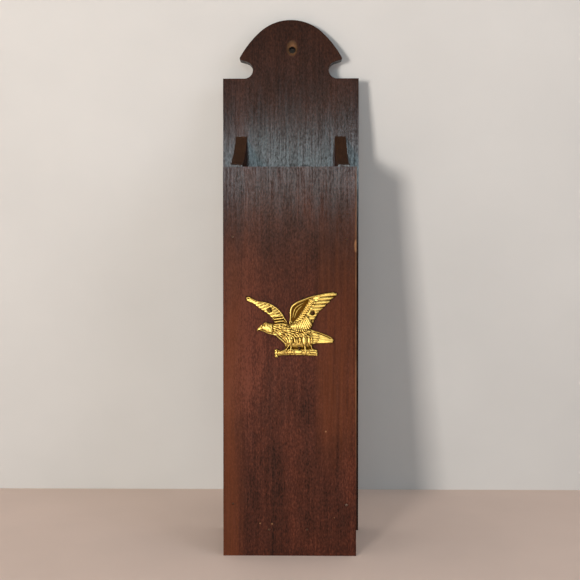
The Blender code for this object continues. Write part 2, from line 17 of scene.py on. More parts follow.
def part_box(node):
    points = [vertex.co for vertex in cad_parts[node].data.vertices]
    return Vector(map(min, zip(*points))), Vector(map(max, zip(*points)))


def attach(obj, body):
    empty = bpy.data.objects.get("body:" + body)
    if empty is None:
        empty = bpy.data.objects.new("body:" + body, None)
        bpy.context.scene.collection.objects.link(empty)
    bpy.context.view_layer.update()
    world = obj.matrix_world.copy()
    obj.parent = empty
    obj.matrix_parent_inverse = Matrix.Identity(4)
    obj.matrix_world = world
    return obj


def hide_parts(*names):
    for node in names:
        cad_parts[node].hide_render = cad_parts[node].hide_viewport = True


bl_info = {
    "name": "Wall match holder",
    "version": (1, 0, 0),
    "blender": (4, 5, 0),
    "location": "3D View > Sidebar > Match holder",
    "description": "Dresses the packed wall match holder in stained wood, steel brads and pressed brass",
    "category": "Add Mesh",
}

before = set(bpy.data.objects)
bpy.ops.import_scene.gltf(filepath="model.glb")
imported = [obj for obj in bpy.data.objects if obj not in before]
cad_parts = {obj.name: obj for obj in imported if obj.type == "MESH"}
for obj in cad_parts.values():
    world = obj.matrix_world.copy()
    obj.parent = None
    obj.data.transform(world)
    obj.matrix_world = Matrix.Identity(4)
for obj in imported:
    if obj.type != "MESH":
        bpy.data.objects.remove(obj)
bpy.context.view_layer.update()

MM = 0.001
FRONT_LOW, FRONT_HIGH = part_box("front_board")
BACK_LOW, BACK_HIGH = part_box("back_board")
SIDE_LOW, SIDE_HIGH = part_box("right_side")
BOTTOM_LOW, BOTTOM_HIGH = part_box("bottom_board")
EAGLE_LOW, EAGLE_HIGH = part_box("brass_eagle")
FRONT_FACE = FRONT_LOW.y
BACK_FACE = BACK_HIGH.y
BRADS = sorted(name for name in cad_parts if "_brad_" in name)
PINS = sorted(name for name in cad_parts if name.startswith("eagle_pin"))
WORN_BRADS = ("front_brad_right_lower",)

# Places on the boards, as the source of the solids has them
CROWN_HEIGHT = 0.0415
CROWN_RADIUS = 0.0329
CROWN_ARC = math.radians(42.0)
FLANK_RADIUS = 0.0687
NOTCH_RADIUS = 0.0061
NOTCH_SETBACK = 0.0046
NOTCH_FLARE = math.radians(16.0)
LOBE_ROUND = 0.0012
HOLE_CENTRE = Vector((0.001, 0.0, 0.3438))
HOLE_RADIUS = 0.0024
# The worn dish round the hole's mouth
DISH_RADIUS = 0.0039
SIDE_STEP = 0.0021
SIDE_SWEEP_DIP = 0.0036
# The splinter's middle, its half sizes and those of the spot where it has taken the stain off
CHIP_CENTRE = Vector((0.04305, FRONT_FACE, 0.2020))
CHIP_SIZE = Vector((0.9, 1.1, 4.0)) * MM
CHIP_SPOT = Vector((1.1, 2.0, 4.0)) * MM
# Small marks on the front where its stain is rubbed: X, Z and radius, in millimetres
MARKS = ((-19.3, 21.2, 0.5), (-11.5, 20.9, 0.6), (29.1, 25.0, 0.35), (23.5, 81.3, 0.55))

# Half a section of a brad and of a pin, radius and height in millimetres from the top down
BRAD_SECTION = (
    (0.0, -0.04), (0.30, -0.01), (0.50, 0.0), (0.60, -0.05), (0.64, -0.14), (0.62, -0.9), (0.48, -1.25),
    (0.48, -18.2), (0.0, -20.0),
)
PIN_SECTION = (
    (0.0, 0.62), (0.35, 0.59), (0.65, 0.50), (0.90, 0.33), (1.02, 0.12), (1.04, 0.0), (0.98, -0.10), (0.5, -0.14),
    (0.5, -6.3), (0.0, -7.5),
)

# The wood's patterns: size across and up the grain in millimetres, then the noise's detail and roughness
WOOD_PATTERNS = {
    "broad": (16, 260, 2.0, 0.55), "streak": (2.2, 90, 3.0, 0.55), "lines": (0.7, 30, 2.0, 0.55),
    "mottle": (0.85, 1.9, 2.0, 0.60), "pores": (0.50, 3.4, 2.0, 0.55), "blotch": (12, 20, 3.0, 0.55),
}
# The stain's level runs from dark at 0 to light at 1: where it starts, and what each pattern adds to it
STAIN_START = -0.775
STAIN_SHARES = {"broad": 0.50, "streak": 0.30, "lines": 0.35, "mottle": 1.00, "blotch": 0.40}
# A painted pool of light that lightens the front's stain to the left of the eagle: centre, half sizes and soft border
LIT_PATCH = ((-0.032, FRONT_FACE, 0.146), (0.030, 0.200, 0.058), 0.7)
LIT_PATCH_SHARE = 0.27
# The front's stain is greyed from the first height up to the second
TOP_GREYING = (0.120, 0.235)
TOP_GREYING_SHARE = 0.45
# Where the front's redder growth sets in: along an axis, from the first place to the second
WARM_RIGHT = (("X", 0.016, 0.024), ("Z", 0.045, 0.095), ("Z", 0.250, 0.160))
WARM_LEFT = (("X", -0.025, -0.036), ("Z", 0.235, 0.150))

# Passes of blur that find the eagle's fine lines and its broad hollows
FINE_BLUR, BROAD_BLUR = 12, 110
# Tarnish, and painted shade, for each millimetre of depth in those, and on the sheet's lowest parts
FINE_TARNISH_AND_SHADE, BROAD_TARNISH_AND_SHADE, LOW_TARNISH_AND_SHADE = 1.9, 0.9, 0.75

CAMERA_PLACE = (0.0077, -0.60865, 0.1833)
CAMERA_WAY = Vector((-0.013, 1.0, -0.017))
CAMERA_LENS = 55.16
# Each lamp's setting, place, aim, size and colour
LAMPS = (
    ("key", (-0.435, -1.16, 0.17), (0.0, 0.0, 0.17), (0.17, 0.17), "#fffaf4"),
    ("window", (0.08, -2.10, 0.513), (0.0, 0.0, 0.22), (0.9, 0.17), "#cbe8f2"),
    ("fill", (1.25, -1.3, 0.55), (0.0, 0.0, 0.17), (0.9, 0.9), "#dce9ff"),
)

# The eagle's plates and lines, in thousandths of its width and height from its lower left corner
LEFT_WING = (
    (0, 897), (10, 935), (38, 935), (78, 902), (133, 869), (188, 855), (242, 839), (297, 807), (352, 750),
    (386, 703), (413, 646), (433, 594), (455, 545), (450, 460), (400, 420), (330, 450), (310, 510), (300, 580),
    (276, 620), (253, 651), (229, 674), (208, 696), (184, 719), (160, 740), (137, 763), (116, 783), (99, 810),
    (72, 829), (41, 848), (17, 869),
)
RIGHT_WING = (
    (476, 520), (482, 613), (480, 679), (483, 731), (495, 779), (519, 823), (556, 857), (611, 888), (659, 915),
    (706, 937), (761, 956), (816, 973), (877, 990), (925, 999), (966, 998), (993, 988), (1000, 971), (992, 947),
    (966, 915), (942, 895), (927, 869), (914, 839), (887, 817), (869, 783), (845, 750), (823, 725), (799, 693),
    (785, 660), (768, 620), (754, 579), (744, 541), (735, 508), (726, 478), (716, 450), (690, 430), (600, 400),
    (500, 440),
)
SHELL = (
    (480, 500), (510, 520), (560, 550), (610, 600), (650, 640), (700, 600), (724, 500), (716, 455), (686, 431),
    (640, 412), (590, 404), (545, 412), (513, 432), (492, 458),
)
HEAD = (
    (137, 404), (123, 405), (119, 423), (130, 443), (148, 470), (167, 494), (188, 519), (207, 538), (225, 542),
    (249, 533), (276, 526), (310, 522), (370, 530), (410, 470), (390, 380), (330, 328), (307, 344), (270, 353),
    (235, 365), (212, 382), (190, 400), (164, 407), (150, 412),
)
BODY = (
    (310, 345), (330, 450), (400, 520), (470, 510), (600, 480), (705, 455), (730, 400), (745, 300), (735, 200),
    (705, 175), (600, 165), (480, 165), (447, 170), (440, 186), (423, 212), (403, 240), (379, 267), (355, 299),
    (331, 329),
)
WEB = (
    (430, 150), (450, 250), (600, 300), (736, 260), (730, 180), (735, 149), (735, 80), (450, 80),
)
TAIL = (
    (660, 430), (700, 441), (730, 426), (761, 411), (816, 388), (870, 359), (918, 330), (947, 302), (962, 271),
    (962, 240), (951, 224), (911, 219), (857, 219), (802, 217), (754, 212), (730, 199), (680, 200),
)
LOG = (
    (314, 66), (311, 104), (319, 126), (334, 136), (352, 133), (365, 119), (386, 113), (410, 121), (430, 135),
    (560, 135), (660, 135), (735, 142), (751, 136), (778, 126), (788, 109), (788, 35), (778, 27), (727, 26),
    (672, 28), (652, 33), (584, 37), (488, 37), (406, 35), (362, 26), (352, 7), (331, 0), (317, 16),
)
PIN_PLACES = ((263, 726.5), (732, 684), (587, 150))
SPAN_STEPS = 5


def srgb(code):
    """A hex colour as linear RGBA."""
    parts = [int(code[i : i + 2], 16) / 255 for i in (1, 3, 5)]
    return tuple(c / 12.92 if c <= 0.04045 else ((c + 0.055) / 1.055) ** 2.4 for c in parts) + (1.0,)


def length_setting(name, description, default, low, high):
    """A length, given in millimetres."""
    return FloatProperty(name=name, description=description, default=default * MM, min=low * MM, max=high * MM,
                         subtype="DISTANCE", unit="LENGTH", precision=5)


def colour_setting(name, description, code):
    """A colour, given as a hex code."""
    return FloatVectorProperty(name=name, description=description, size=4, default=srgb(code), subtype="COLOR",
                               min=0.0, max=1.0)


def power_setting(name, description, default):
    """A lamp's power in watts."""
    return FloatProperty(name=name, description=description, default=default, min=0.0, max=500.0, subtype="POWER",
                         unit="POWER")


class HolderSettings(PropertyGroup):
    """Sizes of the boards' wear and of the small metal parts."""

    edge_round: length_setting("Edge round", "Widest rounding of a board's handled edges", 0.8, 0.2, 2.0)
    edge_step: length_setting("Wear spacing", "Distance over which an edge's wear changes", 3.0, 1.0, 20.0)
    joint: length_setting("Joint", "Hairline that stays open between two boards", 0.02, 0.0, 0.3)
    brad_ring: length_setting("Brad ring", "Radius of the crushed ring round a brad's head", 0.80, 0.7, 2.0)
    sides: IntProperty(
        name="Round sides", description="Facets round a brad's or pin's head", default=28, min=12, max=64,
    )


class FinishSettings(PropertyGroup):
    """Colours of the finishes."""

    wood_deep: colour_setting("Deep stain", "Stain that has gathered in the pores", "#180a06")
    wood_dark: colour_setting("Dark stain", "The wood's late growth under stain", "#2f150c")
    wood_middle: colour_setting("Middle stain", "The wood's usual tone under stain", "#3e1c11")
    wood_light: colour_setting("Light stain", "The wood's early growth under stain", "#5c2d1d")
    wood_warm: colour_setting("Warm band", "Redder bands of growth", "#5a2c14")
    wood_aged: colour_setting("Aged stain", "Stain that dust and years have greyed", "#3a291b")
    # Also the colour of the highlight painted down the front's right edge
    raw_wood_and_highlight: colour_setting("Bare wood", "Wood where the stain is chipped or rubbed off", "#b4835a")
    brass: colour_setting("Brass", "Polished brass", "#c9a95b")
    # Also the painted shade in the eagle's hollows
    tarnish_and_shade: colour_setting("Tarnish", "Brass in the hollows that polish has not reached", "#472d09")
    steel: colour_setting("Steel", "Dull wire of the brads", "#a08c7c")
    browned_steel: colour_setting("Browned steel", "Brads under the wood's stain", "#4c3426")
    pin: colour_setting("Pins", "Brass heads of the eagle's pins", "#8c6439")
    browned_pin: colour_setting("Browned pins", "Tarnish on the eagle's pins", "#3c2617")


class EagleSettings(PropertyGroup):
    """Sizes of the pressed eagle, in the real object's lengths."""

    cell: length_setting("Cell", "Spacing of the sheet's surface points", 0.135, 0.08, 0.5)
    sheet: length_setting("Sheet edge", "Thickness that shows at the eagle's edge", 0.75, 0.3, 1.2)
    edge_round: length_setting("Edge round", "Rounding from the sheet's edge to its face", 0.45, 0.1, 1.0)
    barb: length_setting("Barb depth", "Depth of the fine lines across each feather", 0.03, 0.0, 0.1)


class StageSettings(PropertyGroup):
    """Backdrop and lamps."""

    floor: colour_setting("Floor", "Pale cloth that it stands on", "#e3cdc0")
    wall: colour_setting("Wall", "Pale wall behind it", "#c6c3bf")
    wall_gap: length_setting("Wall distance", "From the backboard's top to the wall", 2.0, 0.0, 1000.0)
    wall_lean: FloatProperty(
        name="Wall lean", description="How far the wall leans over the holder, which props itself against it",
        default=math.radians(17.0), min=0.0, max=1.0, subtype="ANGLE", unit="ROTATION",
    )
    key: power_setting("Key lamp", "Power of the lamp at the front left", 11.7)
    window: power_setting("Window lamp", "Power of the cool strip that shows in the varnish", 8.6)
    fill: power_setting("Fill lamp", "Power of the soft lamp at the right", 6.0)
    sky: FloatProperty(
        name="Room light", description="Strength of the light from all round",
        default=0.66, min=0.0, max=2.0, subtype="FACTOR",
    )


def deselect():
    bpy.ops.object.select_all(action="DESELECT")
    bpy.context.view_layer.objects.active = None


def make_active(obj):
    deselect()
    obj.select_set(True)
    bpy.context.view_layer.objects.active = obj


@contextmanager
def editing(obj):
    """Edit mode with all of a mesh selected; at the end its faces are turned outward."""
    make_active(obj)
    bpy.ops.object.mode_set(mode="EDIT")
    bpy.ops.mesh.select_all(action="SELECT")
    yield
    bpy.ops.mesh.select_all(action="SELECT")
    bpy.ops.mesh.normals_make_consistent(inside=False)
    bpy.ops.object.mode_set(mode="OBJECT")


def apply_modifier(obj, kind, name, **settings):
    """Adds a modifier with its settings and applies it."""
    make_active(obj)
    modifier = obj.modifiers.new(name, kind)
    for key, value in settings.items():
        setattr(modifier, key, value)
    bpy.ops.object.modifier_apply(modifier=name)


def finish_piece(obj, slot, *nodes):
    """The piece stands for its solids and rides with them."""
    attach(obj, "root")
    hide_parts(*nodes)


def smooth(obj, degrees=38.0):
    make_active(obj)
    bpy.ops.object.shade_smooth_by_angle(angle=math.radians(degrees))
    apply_modifier(obj, "WEIGHTED_NORMAL", "flat_faces", keep_sharp=True, weight=80)


# Nodes and materials


ADD = {"operation": "ADD"}
SUBTRACT = {"operation": "SUBTRACT"}
MULTIPLY = {"operation": "MULTIPLY"}
MULTIPLY_ADD = {"operation": "MULTIPLY_ADD"}
MAXIMUM = {"operation": "MAXIMUM"}
LENGTH = {"operation": "LENGTH"}
POINT = {"vector_type": "POINT"}
SMOOTH_STEP = {"interpolation_type": "SMOOTHSTEP"}
MIX = {"data_type": "RGBA"}
TINT = {"data_type": "RGBA", "blend_type": "MULTIPLY"}


def node(tree, kind, settings, inputs, out=0):
    """Adds a node with its settings and inputs, and gives one of its outputs.

    An input is a value or the output that feeds it. The setting "stops" is a colour ramp's places and colours.
    """
    made = tree.nodes.new("ShaderNode" + kind)
    for key, value in settings.items():
        if key == "stops":
            for _ in value[2:]:
                made.color_ramp.elements.new(0.5)
            for element, (place, colour) in zip(made.color_ramp.elements, value):
                element.position = place
                element.color = colour if hasattr(colour, "__len__") else (colour, colour, colour, 1.0)
        else:
            setattr(made, key, value)
    for key, value in inputs.items():
        if isinstance(value, bpy.types.NodeSocket):
            tree.links.new(value, made.inputs[key])
        else:
            made.inputs[key].default_value = value
    return made.outputs[out]


def new_material(name):
    material = bpy.data.materials.new(name)
    material.use_nodes = True
    tree = material.node_tree
    tree.nodes.clear()
    output = tree.nodes.new("ShaderNodeOutputMaterial")
    shader = tree.nodes.new("ShaderNodeBsdfPrincipled")
    tree.links.new(shader.outputs[0], output.inputs["Surface"])
    return material, tree, shader


def finish_shader(tree, shader, values):
    """Links what varies over the surface and sets what doesn't on the shader's own sockets."""
    for key, value in values.items():
        if isinstance(value, bpy.types.NodeSocket):
            tree.links.new(value, shader.inputs[key])
        else:
            shader.inputs[key].default_value = value


def grain(tree, place, across, along, detail=3.0, roughness=0.55):
    """A pattern whose marks are across by along in size, the long way up the grain."""
    scale = (1 / across, 1 / across, 1 / along)
    marks = node(tree, "Mapping", POINT, {"Vector": place, "Scale": scale})
    return node(tree, "TexNoise", {}, {"Vector": marks, "Scale": 1.0, "Detail": detail, "Roughness": roughness})


def spot_mask(tree, place, centre, size, soft=0.35):
    """1 inside an ellipsoid of half sizes round a place on the piece, falling to 0 over its soft border."""
    scale = [1 / part for part in size]
    location = [-c * s for c, s in zip(centre, scale)]
    moved = node(tree, "Mapping", POINT, {"Vector": place, "Location": location, "Scale": scale})
    length = node(tree, "VectorMath", LENGTH, {0: moved}, "Value")
    return node(tree, "MapRange", SMOOTH_STEP, {
        "Value": length, "From Min": 1.0 - soft, "From Max": 1.0 + soft, "To Min": 1.0, "To Max": 0.0,
    })


def warm_bands(tree, place, streak):
    """Redder growth along the front board's right edge from low down to above its middle, and at its left edge."""
    apart = node(tree, "SeparateXYZ", {}, {"Vector": place}).node
    both = 0.0
    for limits in (WARM_RIGHT, WARM_LEFT):
        band = streak
        for axis, start, end in limits:
            mask = node(tree, "MapRange", SMOOTH_STEP, {
                "Value": apart.outputs[axis], "From Min": start, "From Max": end,
            })
            band = node(tree, "Math", MULTIPLY, {0: mask, 1: band})
        both = node(tree, "Math", ADD, {0: band, 1: both})
    return both


def stained_wood(context, name, turn=(0, 0, 0), shift=0.0, tone=1.0, aged=0.0, gloss=1.0, front=False, spots=()):
    """Straight-grained mahogany, wiped with a dark spirit stain and brushed with satin varnish.

    Its pores are open lines under 1 mm wide that hold the darkest stain and swallow the varnish, so a lamp's
    reflection breaks into fine upright streaks. spots are (centre, half sizes, share) where bare wood colour shows:
    where the stain is off, and where a pale strip is painted as a highlight.
    """
    finish = context.scene.match_finish
    material, tree, shader = new_material(name)
    object_place = node(tree, "TexCoord", {}, {}, "Object")
    grain_way = node(tree, "Mapping", POINT, {
        "Vector": object_place, "Rotation": turn, "Location": (shift, shift * 0.7, shift * 0.3),
    })
    sway = grain(tree, grain_way, 30 * MM, 120 * MM, 1.0)
    sway = node(tree, "Math", MULTIPLY, {0: sway, 1: 3.0 * MM})
    swayed = node(tree, "CombineXYZ", {}, {"X": sway})
    place = node(tree, "VectorMath", ADD, {0: grain_way, 1: swayed})

    marks = {
        pattern: grain(tree, place, across * MM, along * MM, detail, roughness)
        for pattern, (across, along, detail, roughness) in WOOD_PATTERNS.items()
    }
    mottle = marks["mottle"]
    level = STAIN_START
    for pattern, share in STAIN_SHARES.items():
        level = node(tree, "Math", MULTIPLY_ADD, {0: marks[pattern], 1: share, 2: level})
    if front:
        # Painted pool of light: the stain is lightened to the left of the eagle
        lit_patch = spot_mask(tree, object_place, *LIT_PATCH)
        level = node(tree, "Math", MULTIPLY_ADD, {0: lit_patch, 1: LIT_PATCH_SHARE, 2: level})
        # The front is greyed towards its top
        tall = node(tree, "SeparateXYZ", {}, {"Vector": object_place}, "Z")
        aged = node(tree, "MapRange", SMOOTH_STEP, {
            "Value": tall, "From Min": TOP_GREYING[0], "From Max": TOP_GREYING[1], "To Min": 0.0, "To Max": TOP_GREYING_SHARE,
        })
    colour = node(tree, "ValToRGB", {"stops": (
        (0.15, finish.wood_deep), (0.36, finish.wood_dark), (0.55, finish.wood_middle), (0.90, finish.wood_light),
    )}, {0: level})
    pore_mask = node(tree, "ValToRGB", {"stops": ((0.27, 1.0), (0.40, 0.0))}, {0: marks["pores"]})
    pore_share = node(tree, "Math", MULTIPLY, {0: pore_mask, 1: 0.5})
    colour = node(tree, "Mix", MIX, {0: pore_share, 6: colour, 7: finish.wood_deep}, 2)
    if front:
        warm = warm_bands(tree, place, marks["streak"])
        colour = node(tree, "Mix", MIX, {0: warm, 6: colour, 7: finish.wood_warm}, 2)
    if front or aged:
        greyed_stain = node(tree, "Mix", MIX, {0: level, 6: finish.wood_deep, 7: finish.wood_aged}, 2)
        colour = node(tree, "Mix", MIX, {0: aged, 6: colour, 7: greyed_stain}, 2)
    if tone != 1.0:
        colour = node(tree, "Mix", TINT, {0: 1.0, 6: colour, 7: (tone, tone, tone, 1.0)}, 2)

    # The varnish has sunk into the open grain
    shine = node(tree, "Math", MULTIPLY, {0: marks["lines"], 1: 0.5})
    shine = node(tree, "Math", MULTIPLY_ADD, {0: mottle, 1: 0.5, 2: shine})
    coat = node(tree, "ValToRGB", {"stops": ((0.40, 0.15 * gloss), (0.60, gloss))}, {0: shine})
    # Bare wood colour where the stain is off, and as a painted highlight down the front's right edge
    if spots:
        uneven = node(tree, "ValToRGB", {"stops": ((0.35, 0.35), (0.55, 1.0))}, {0: marks["blotch"]})
        bare_and_highlight = stripped = 0.0
        for centre, size, share in spots:
            mask = spot_mask(tree, object_place, centre, size)
            ragged = node(tree, "Math", MULTIPLY, {0: mask, 1: uneven})
            ragged = node(tree, "Math", MULTIPLY, {0: ragged, 1: share})
            bare_and_highlight = node(tree, "Math", MAXIMUM, {0: ragged, 1: bare_and_highlight})
            stripped = node(tree, "Math", MAXIMUM, {0: mask, 1: stripped})
        wood = node(tree, "Mix", MIX, {0: pore_share, 6: finish.raw_wood_and_highlight, 7: finish.wood_light}, 2)
        colour = node(tree, "Mix", MIX, {0: bare_and_highlight, 6: colour, 7: wood}, 2)
        covered = node(tree, "Math", SUBTRACT, {0: 1.0, 1: stripped})
        coat = node(tree, "Math", MULTIPLY, {0: coat, 1: covered})

    rough = node(tree, "MapRange", {}, {
        "Value": mottle, "From Min": 0.25, "From Max": 0.75, "To Min": 0.50, "To Max": 0.62,
    })
    # Heights of the surface, in millimetres
    height = node(tree, "Math", MULTIPLY, {0: mottle, 1: 0.014})
    height = node(tree, "Math", MULTIPLY_ADD, {0: pore_mask, 1: -0.004, 2: height})
    height = node(tree, "Math", MULTIPLY_ADD, {0: sway, 1: 40.0, 2: height})
    bump = node(tree, "Bump", {}, {"Strength": 1.0, "Distance": 1.0 * MM, "Height": height})
    finish_shader(tree, shader, {
        "Base Color": colour, "Roughness": rough, "IOR": 1.5, "Specular IOR Level": 0.05, "Normal": bump,
        "Coat Weight": coat, "Coat Roughness": 0.155, "Coat IOR": 1.5, "Coat Normal": bump,
    })
    return material


def pressed_brass(context):
    """Yellow brass sheet, struck in a die and hand polished.

    Its high places throw back soft broad lights, and the tarnish left in its hollows draws every feather in brown;
    the dark in the hollows is partly painted shade.
    """
    finish = context.scene.match_finish
    material, tree, shader = new_material("pressed_brass")
    place = node(tree, "TexCoord", {}, {}, "Object")
    hollow = node(tree, "Attribute", {"attribute_name": "hollow"}, {}, "Fac")
    cloud = grain(tree, place, 1.6 * MM, 1.6 * MM, 4.0)
    # The hollows' tarnish, deepened as painted shade
    grime_and_shade = node(tree, "Math", MULTIPLY_ADD, {0: cloud, 1: 0.5, 2: hollow})
    mask = node(tree, "ValToRGB", {"stops": ((0.50, 0.0), (0.95, 1.0))}, {0: grime_and_shade})
    colour = node(tree, "Mix", MIX, {0: mask, 6: finish.brass, 7: finish.tarnish_and_shade}, 2)
    rough = node(tree, "MapRange", {}, {"Value": mask, "To Min": 0.39, "To Max": 0.58})
    # Rubbing marks, drawn 0.2 mm wide so that they show
    rubbed = grain(tree, place, 0.2 * MM, 1.5 * MM, 2.0)
    bump = node(tree, "Bump", {}, {"Strength": 0.35, "Distance": 0.05 * MM, "Height": rubbed})
    finish_shader(tree, shader, {"Base Color": colour, "Roughness": rough, "Normal": bump, "Metallic": 1.0})
    return material


def small_metal(name, colour, dark, roughness, worn=0.0):
    """Drawn wire or a small stamped head, browned and uneven from hammering.

    It shows as a dark dot with a dull light on it, and as bare bright metal where it is worn.
    """
    material, tree, shader = new_material(name)
    place = node(tree, "TexCoord", {}, {}, "Object")
    cloud = grain(tree, place, 0.5 * MM, 0.5 * MM)
    apart = grain(tree, place, 21 * MM, 21 * MM, 0.0)
    stain = node(tree, "Math", ADD, {0: cloud, 1: apart})
    mask = node(tree, "MapRange", SMOOTH_STEP, {"Value": stain, "From Min": 0.78 + worn, "From Max": 0.98 + worn})
    colour = node(tree, "Mix", MIX, {0: mask, 6: colour, 7: dark}, 2)
    rough = node(tree, "MapRange", {}, {"Value": cloud, "To Min": roughness - 0.08, "To Max": roughness + 0.2})
    bump = node(tree, "Bump", {}, {"Strength": 0.4, "Distance": 0.04 * MM, "Height": cloud})
    finish_shader(tree, shader, {"Base Color": colour, "Roughness": rough, "Normal": bump, "Metallic": 1.0})
    return material


def plain_cloth(name, colour, one_sided=False):
    """Matt painted wall or laid cloth: an even pale tone with no light on it.

    A one-sided wall is clear to whoever looks from behind it.
    """
    material, tree, shader = new_material(name)
    place = node(tree, "TexCoord", {}, {}, "Object")
    cloud = grain(tree, place, 120 * MM, 120 * MM)
    shade = node(tree, "ValToRGB", {"stops": ((0.3, 0.94), (0.7, 1.0))}, {0: cloud})
    colour = node(tree, "Mix", TINT, {0: 1.0, 6: colour, 7: shade}, 2)
    finish_shader(tree, shader, {"Base Color": colour, "Roughness": 0.9, "Specular IOR Level": 0.2})
    if one_sided:
        clear = node(tree, "BsdfTransparent", {}, {})
        behind = node(tree, "NewGeometry", {}, {}, "Backfacing")
        wall = node(tree, "MixShader", {}, {0: behind, 1: shader.outputs[0], 2: clear})
        tree.links.new(wall, tree.nodes["Material Output"].inputs["Surface"])
    return material


# Boards


def arc(centre, radius, start, end, step=math.radians(5.0)):
    """Points on an arc in X and Z, the last one included; angles are from +X."""
    count = max(2, math.ceil(abs(end - start) / step))
    angles = [start + (end - start) * i / count for i in range(count + 1)]
    return [centre + radius * Vector((math.cos(a), math.sin(a))) for a in angles]


def crown_outline():
    """The backboard from the front: the right half from its crown down, then its mirror image."""
    half_width, top, shoulder = BACK_HIGH.x, BACK_HIGH.z, BACK_HIGH.z - CROWN_HEIGHT
    crown = Vector((0.0, top - CROWN_RADIUS))
    flank = crown - (FLANK_RADIUS - CROWN_RADIUS) * Vector((math.sin(CROWN_ARC), math.cos(CROWN_ARC)))
    rise = shoulder + 2 * NOTCH_RADIUS - flank.y
    notch = Vector((flank.x + math.sqrt(FLANK_RADIUS**2 - rise**2) - NOTCH_SETBACK, shoulder + NOTCH_RADIUS))
    along = Vector((math.cos(NOTCH_FLARE), math.sin(NOTCH_FLARE)))
    away = notch + Vector((-along.y, along.x)) * (NOTCH_RADIUS + LOBE_ROUND) - flank
    lean = away.dot(along)
    run = math.sqrt(lean**2 - away.length_squared + (FLANK_RADIUS - LOBE_ROUND) ** 2) - lean
    lobe = flank + away + along * run
    lobe_start = math.atan2(*(lobe - flank).yx)
    quarter = math.pi / 2
    half = [
        *arc(crown, CROWN_RADIUS, quarter, quarter - CROWN_ARC),
        *arc(flank, FLANK_RADIUS, quarter - CROWN_ARC, lobe_start)[1:],
        *arc(lobe, LOBE_ROUND, lobe_start, NOTCH_FLARE - quarter, math.radians(20.0))[1:],
        *arc(notch, NOTCH_RADIUS, quarter + NOTCH_FLARE, 3 * quarter, math.radians(10.0)),
        Vector((half_width, shoulder)),
        Vector((half_width, 0.0)),
    ]
    return half + [Vector((-p.x, p.y)) for p in reversed(half[1:])]


def side_outline(context):
    """A side board from the right: depth and height, its top swept up in one arc from the front to the backboard."""
    gap = context.scene.match_holder.joint
    start, end = FRONT_HIGH.y + gap, BACK_LOW.y - gap
    front_top = Vector((start, FRONT_HIGH.z + SIDE_STEP))
    back_top = Vector((end, SIDE_HIGH.z))
    chord = back_top - front_top
    radius = (chord.length**2 / 4 + SIDE_SWEEP_DIP**2) / (2 * SIDE_SWEEP_DIP)
    upward = Vector((-chord.y, chord.x)).normalized()
    centre = (front_top + back_top) / 2 + upward * (radius - SIDE_SWEEP_DIP)
    angles = [math.atan2(*(corner - centre).yx) for corner in (front_top, back_top)]
    return [Vector((start, 0.0)), *arc(centre, radius, *angles, math.radians(3.0)), Vector((end, 0.0))]


def rectangle(low, high):
    return [Vector(corner) for corner in (low, (high[0], low[1]), high, (low[0], high[1]))]


def divided(outline, step):
    """The closed outline with its long straight runs divided into equal lengths of about one step."""
    made = []
    for start, end in zip(outline, outline[1:] + outline[:1]):
        count = max(1, round((end - start).length / step))
        made += [start.lerp(end, i / count) for i in range(count)]
    return made


def sawn_board(context, name, outline, to_space, thickness):
    """A board sawn to an outline: its face laid out, drawn back by its thickness, and its edges worn unevenly."""
    settings = context.scene.match_holder
    points = [to_space(p) for p in divided(outline, settings.edge_step)]
    deselect()
    bpy.ops.mesh.primitive_circle_add(vertices=len(points), radius=1.0, fill_type="NGON")
    obj = bpy.context.object
    obj.name = obj.data.name = name
    for vertex, point in zip(obj.data.vertices, points):
        vertex.co = point
    with editing(obj):
        bpy.ops.mesh.extrude_region_move(TRANSFORM_OT_translate={"value": tuple(thickness)})
    wear_edges(obj, settings.edge_round)
    return obj


def wear_edges(obj, width):
    """Rounds every edge by a width that changes along it, as years of handling leave it."""
    shape = bmesh.new()
    shape.from_mesh(obj.data)
    weight = shape.edges.layers.float.new("bevel_weight_edge")
    for edge in shape.edges:
        if edge.calc_face_angle(0.0) > math.radians(25.0):
            middle = (edge.verts[0].co + edge.verts[1].co) / 2
            # Wear that changes over 30 mm, and over 6 mm
            slow = noise.noise(middle * 35.0)
            quick = noise.noise(middle * 160.0 + Vector((7.0, 3.0, 1.0)))
            edge[weight] = min(1.0, max(0.3, 0.62 + 0.175 * slow + 0.25 * quick))
    shape.to_mesh(obj.data)
    shape.free()
    apply_modifier(obj, "BEVEL", "worn_edges", width=width, segments=3, limit_method="WEIGHT", profile=0.5)


def cut(obj, cutter):
    apply_modifier(obj, "BOOLEAN", "cut", operation="DIFFERENCE", object=cutter, solver="EXACT")


def remove(obj):
    data = obj.data
    bpy.data.objects.remove(obj, do_unlink=True)
    bpy.data.meshes.remove(data)


def paint_faces(obj, face, edge, dull, outward):
    """Gives the board's show face one finish, its edges and ends another, and the face turned away the dull one."""
    for material in (face, edge, dull):
        obj.data.materials.append(material)
    for polygon in obj.data.polygons:
        facing = polygon.normal.dot(outward)
        polygon.material_index = 0 if facing > 0.999 else 2 if facing < -0.999 else 1


def turned(name, profile, sides):
    """A round solid spun about Z from a profile of radius and height, from its top down."""
    mesh = bpy.data.meshes.new(name)
    mesh.from_pydata([(r, 0.0, z) for r, z in profile], [(i, i + 1) for i in range(len(profile) - 1)], [])
    obj = bpy.data.objects.new(name, mesh)
    bpy.context.scene.collection.objects.link(obj)
    with editing(obj):
        bpy.ops.mesh.spin(steps=sides, angle=2 * math.pi, center=(0, 0, 0), axis=(0, 0, 1))
        bpy.ops.mesh.select_all(action="SELECT")
        bpy.ops.mesh.remove_doubles(threshold=0.002 * MM)
    return obj


def copied(model, name):
    """A copy with its own mesh."""
    made = model.copy()
    made.data = model.data.copy()
    made.name = made.data.name = name
    bpy.context.scene.collection.objects.link(made)
    return made


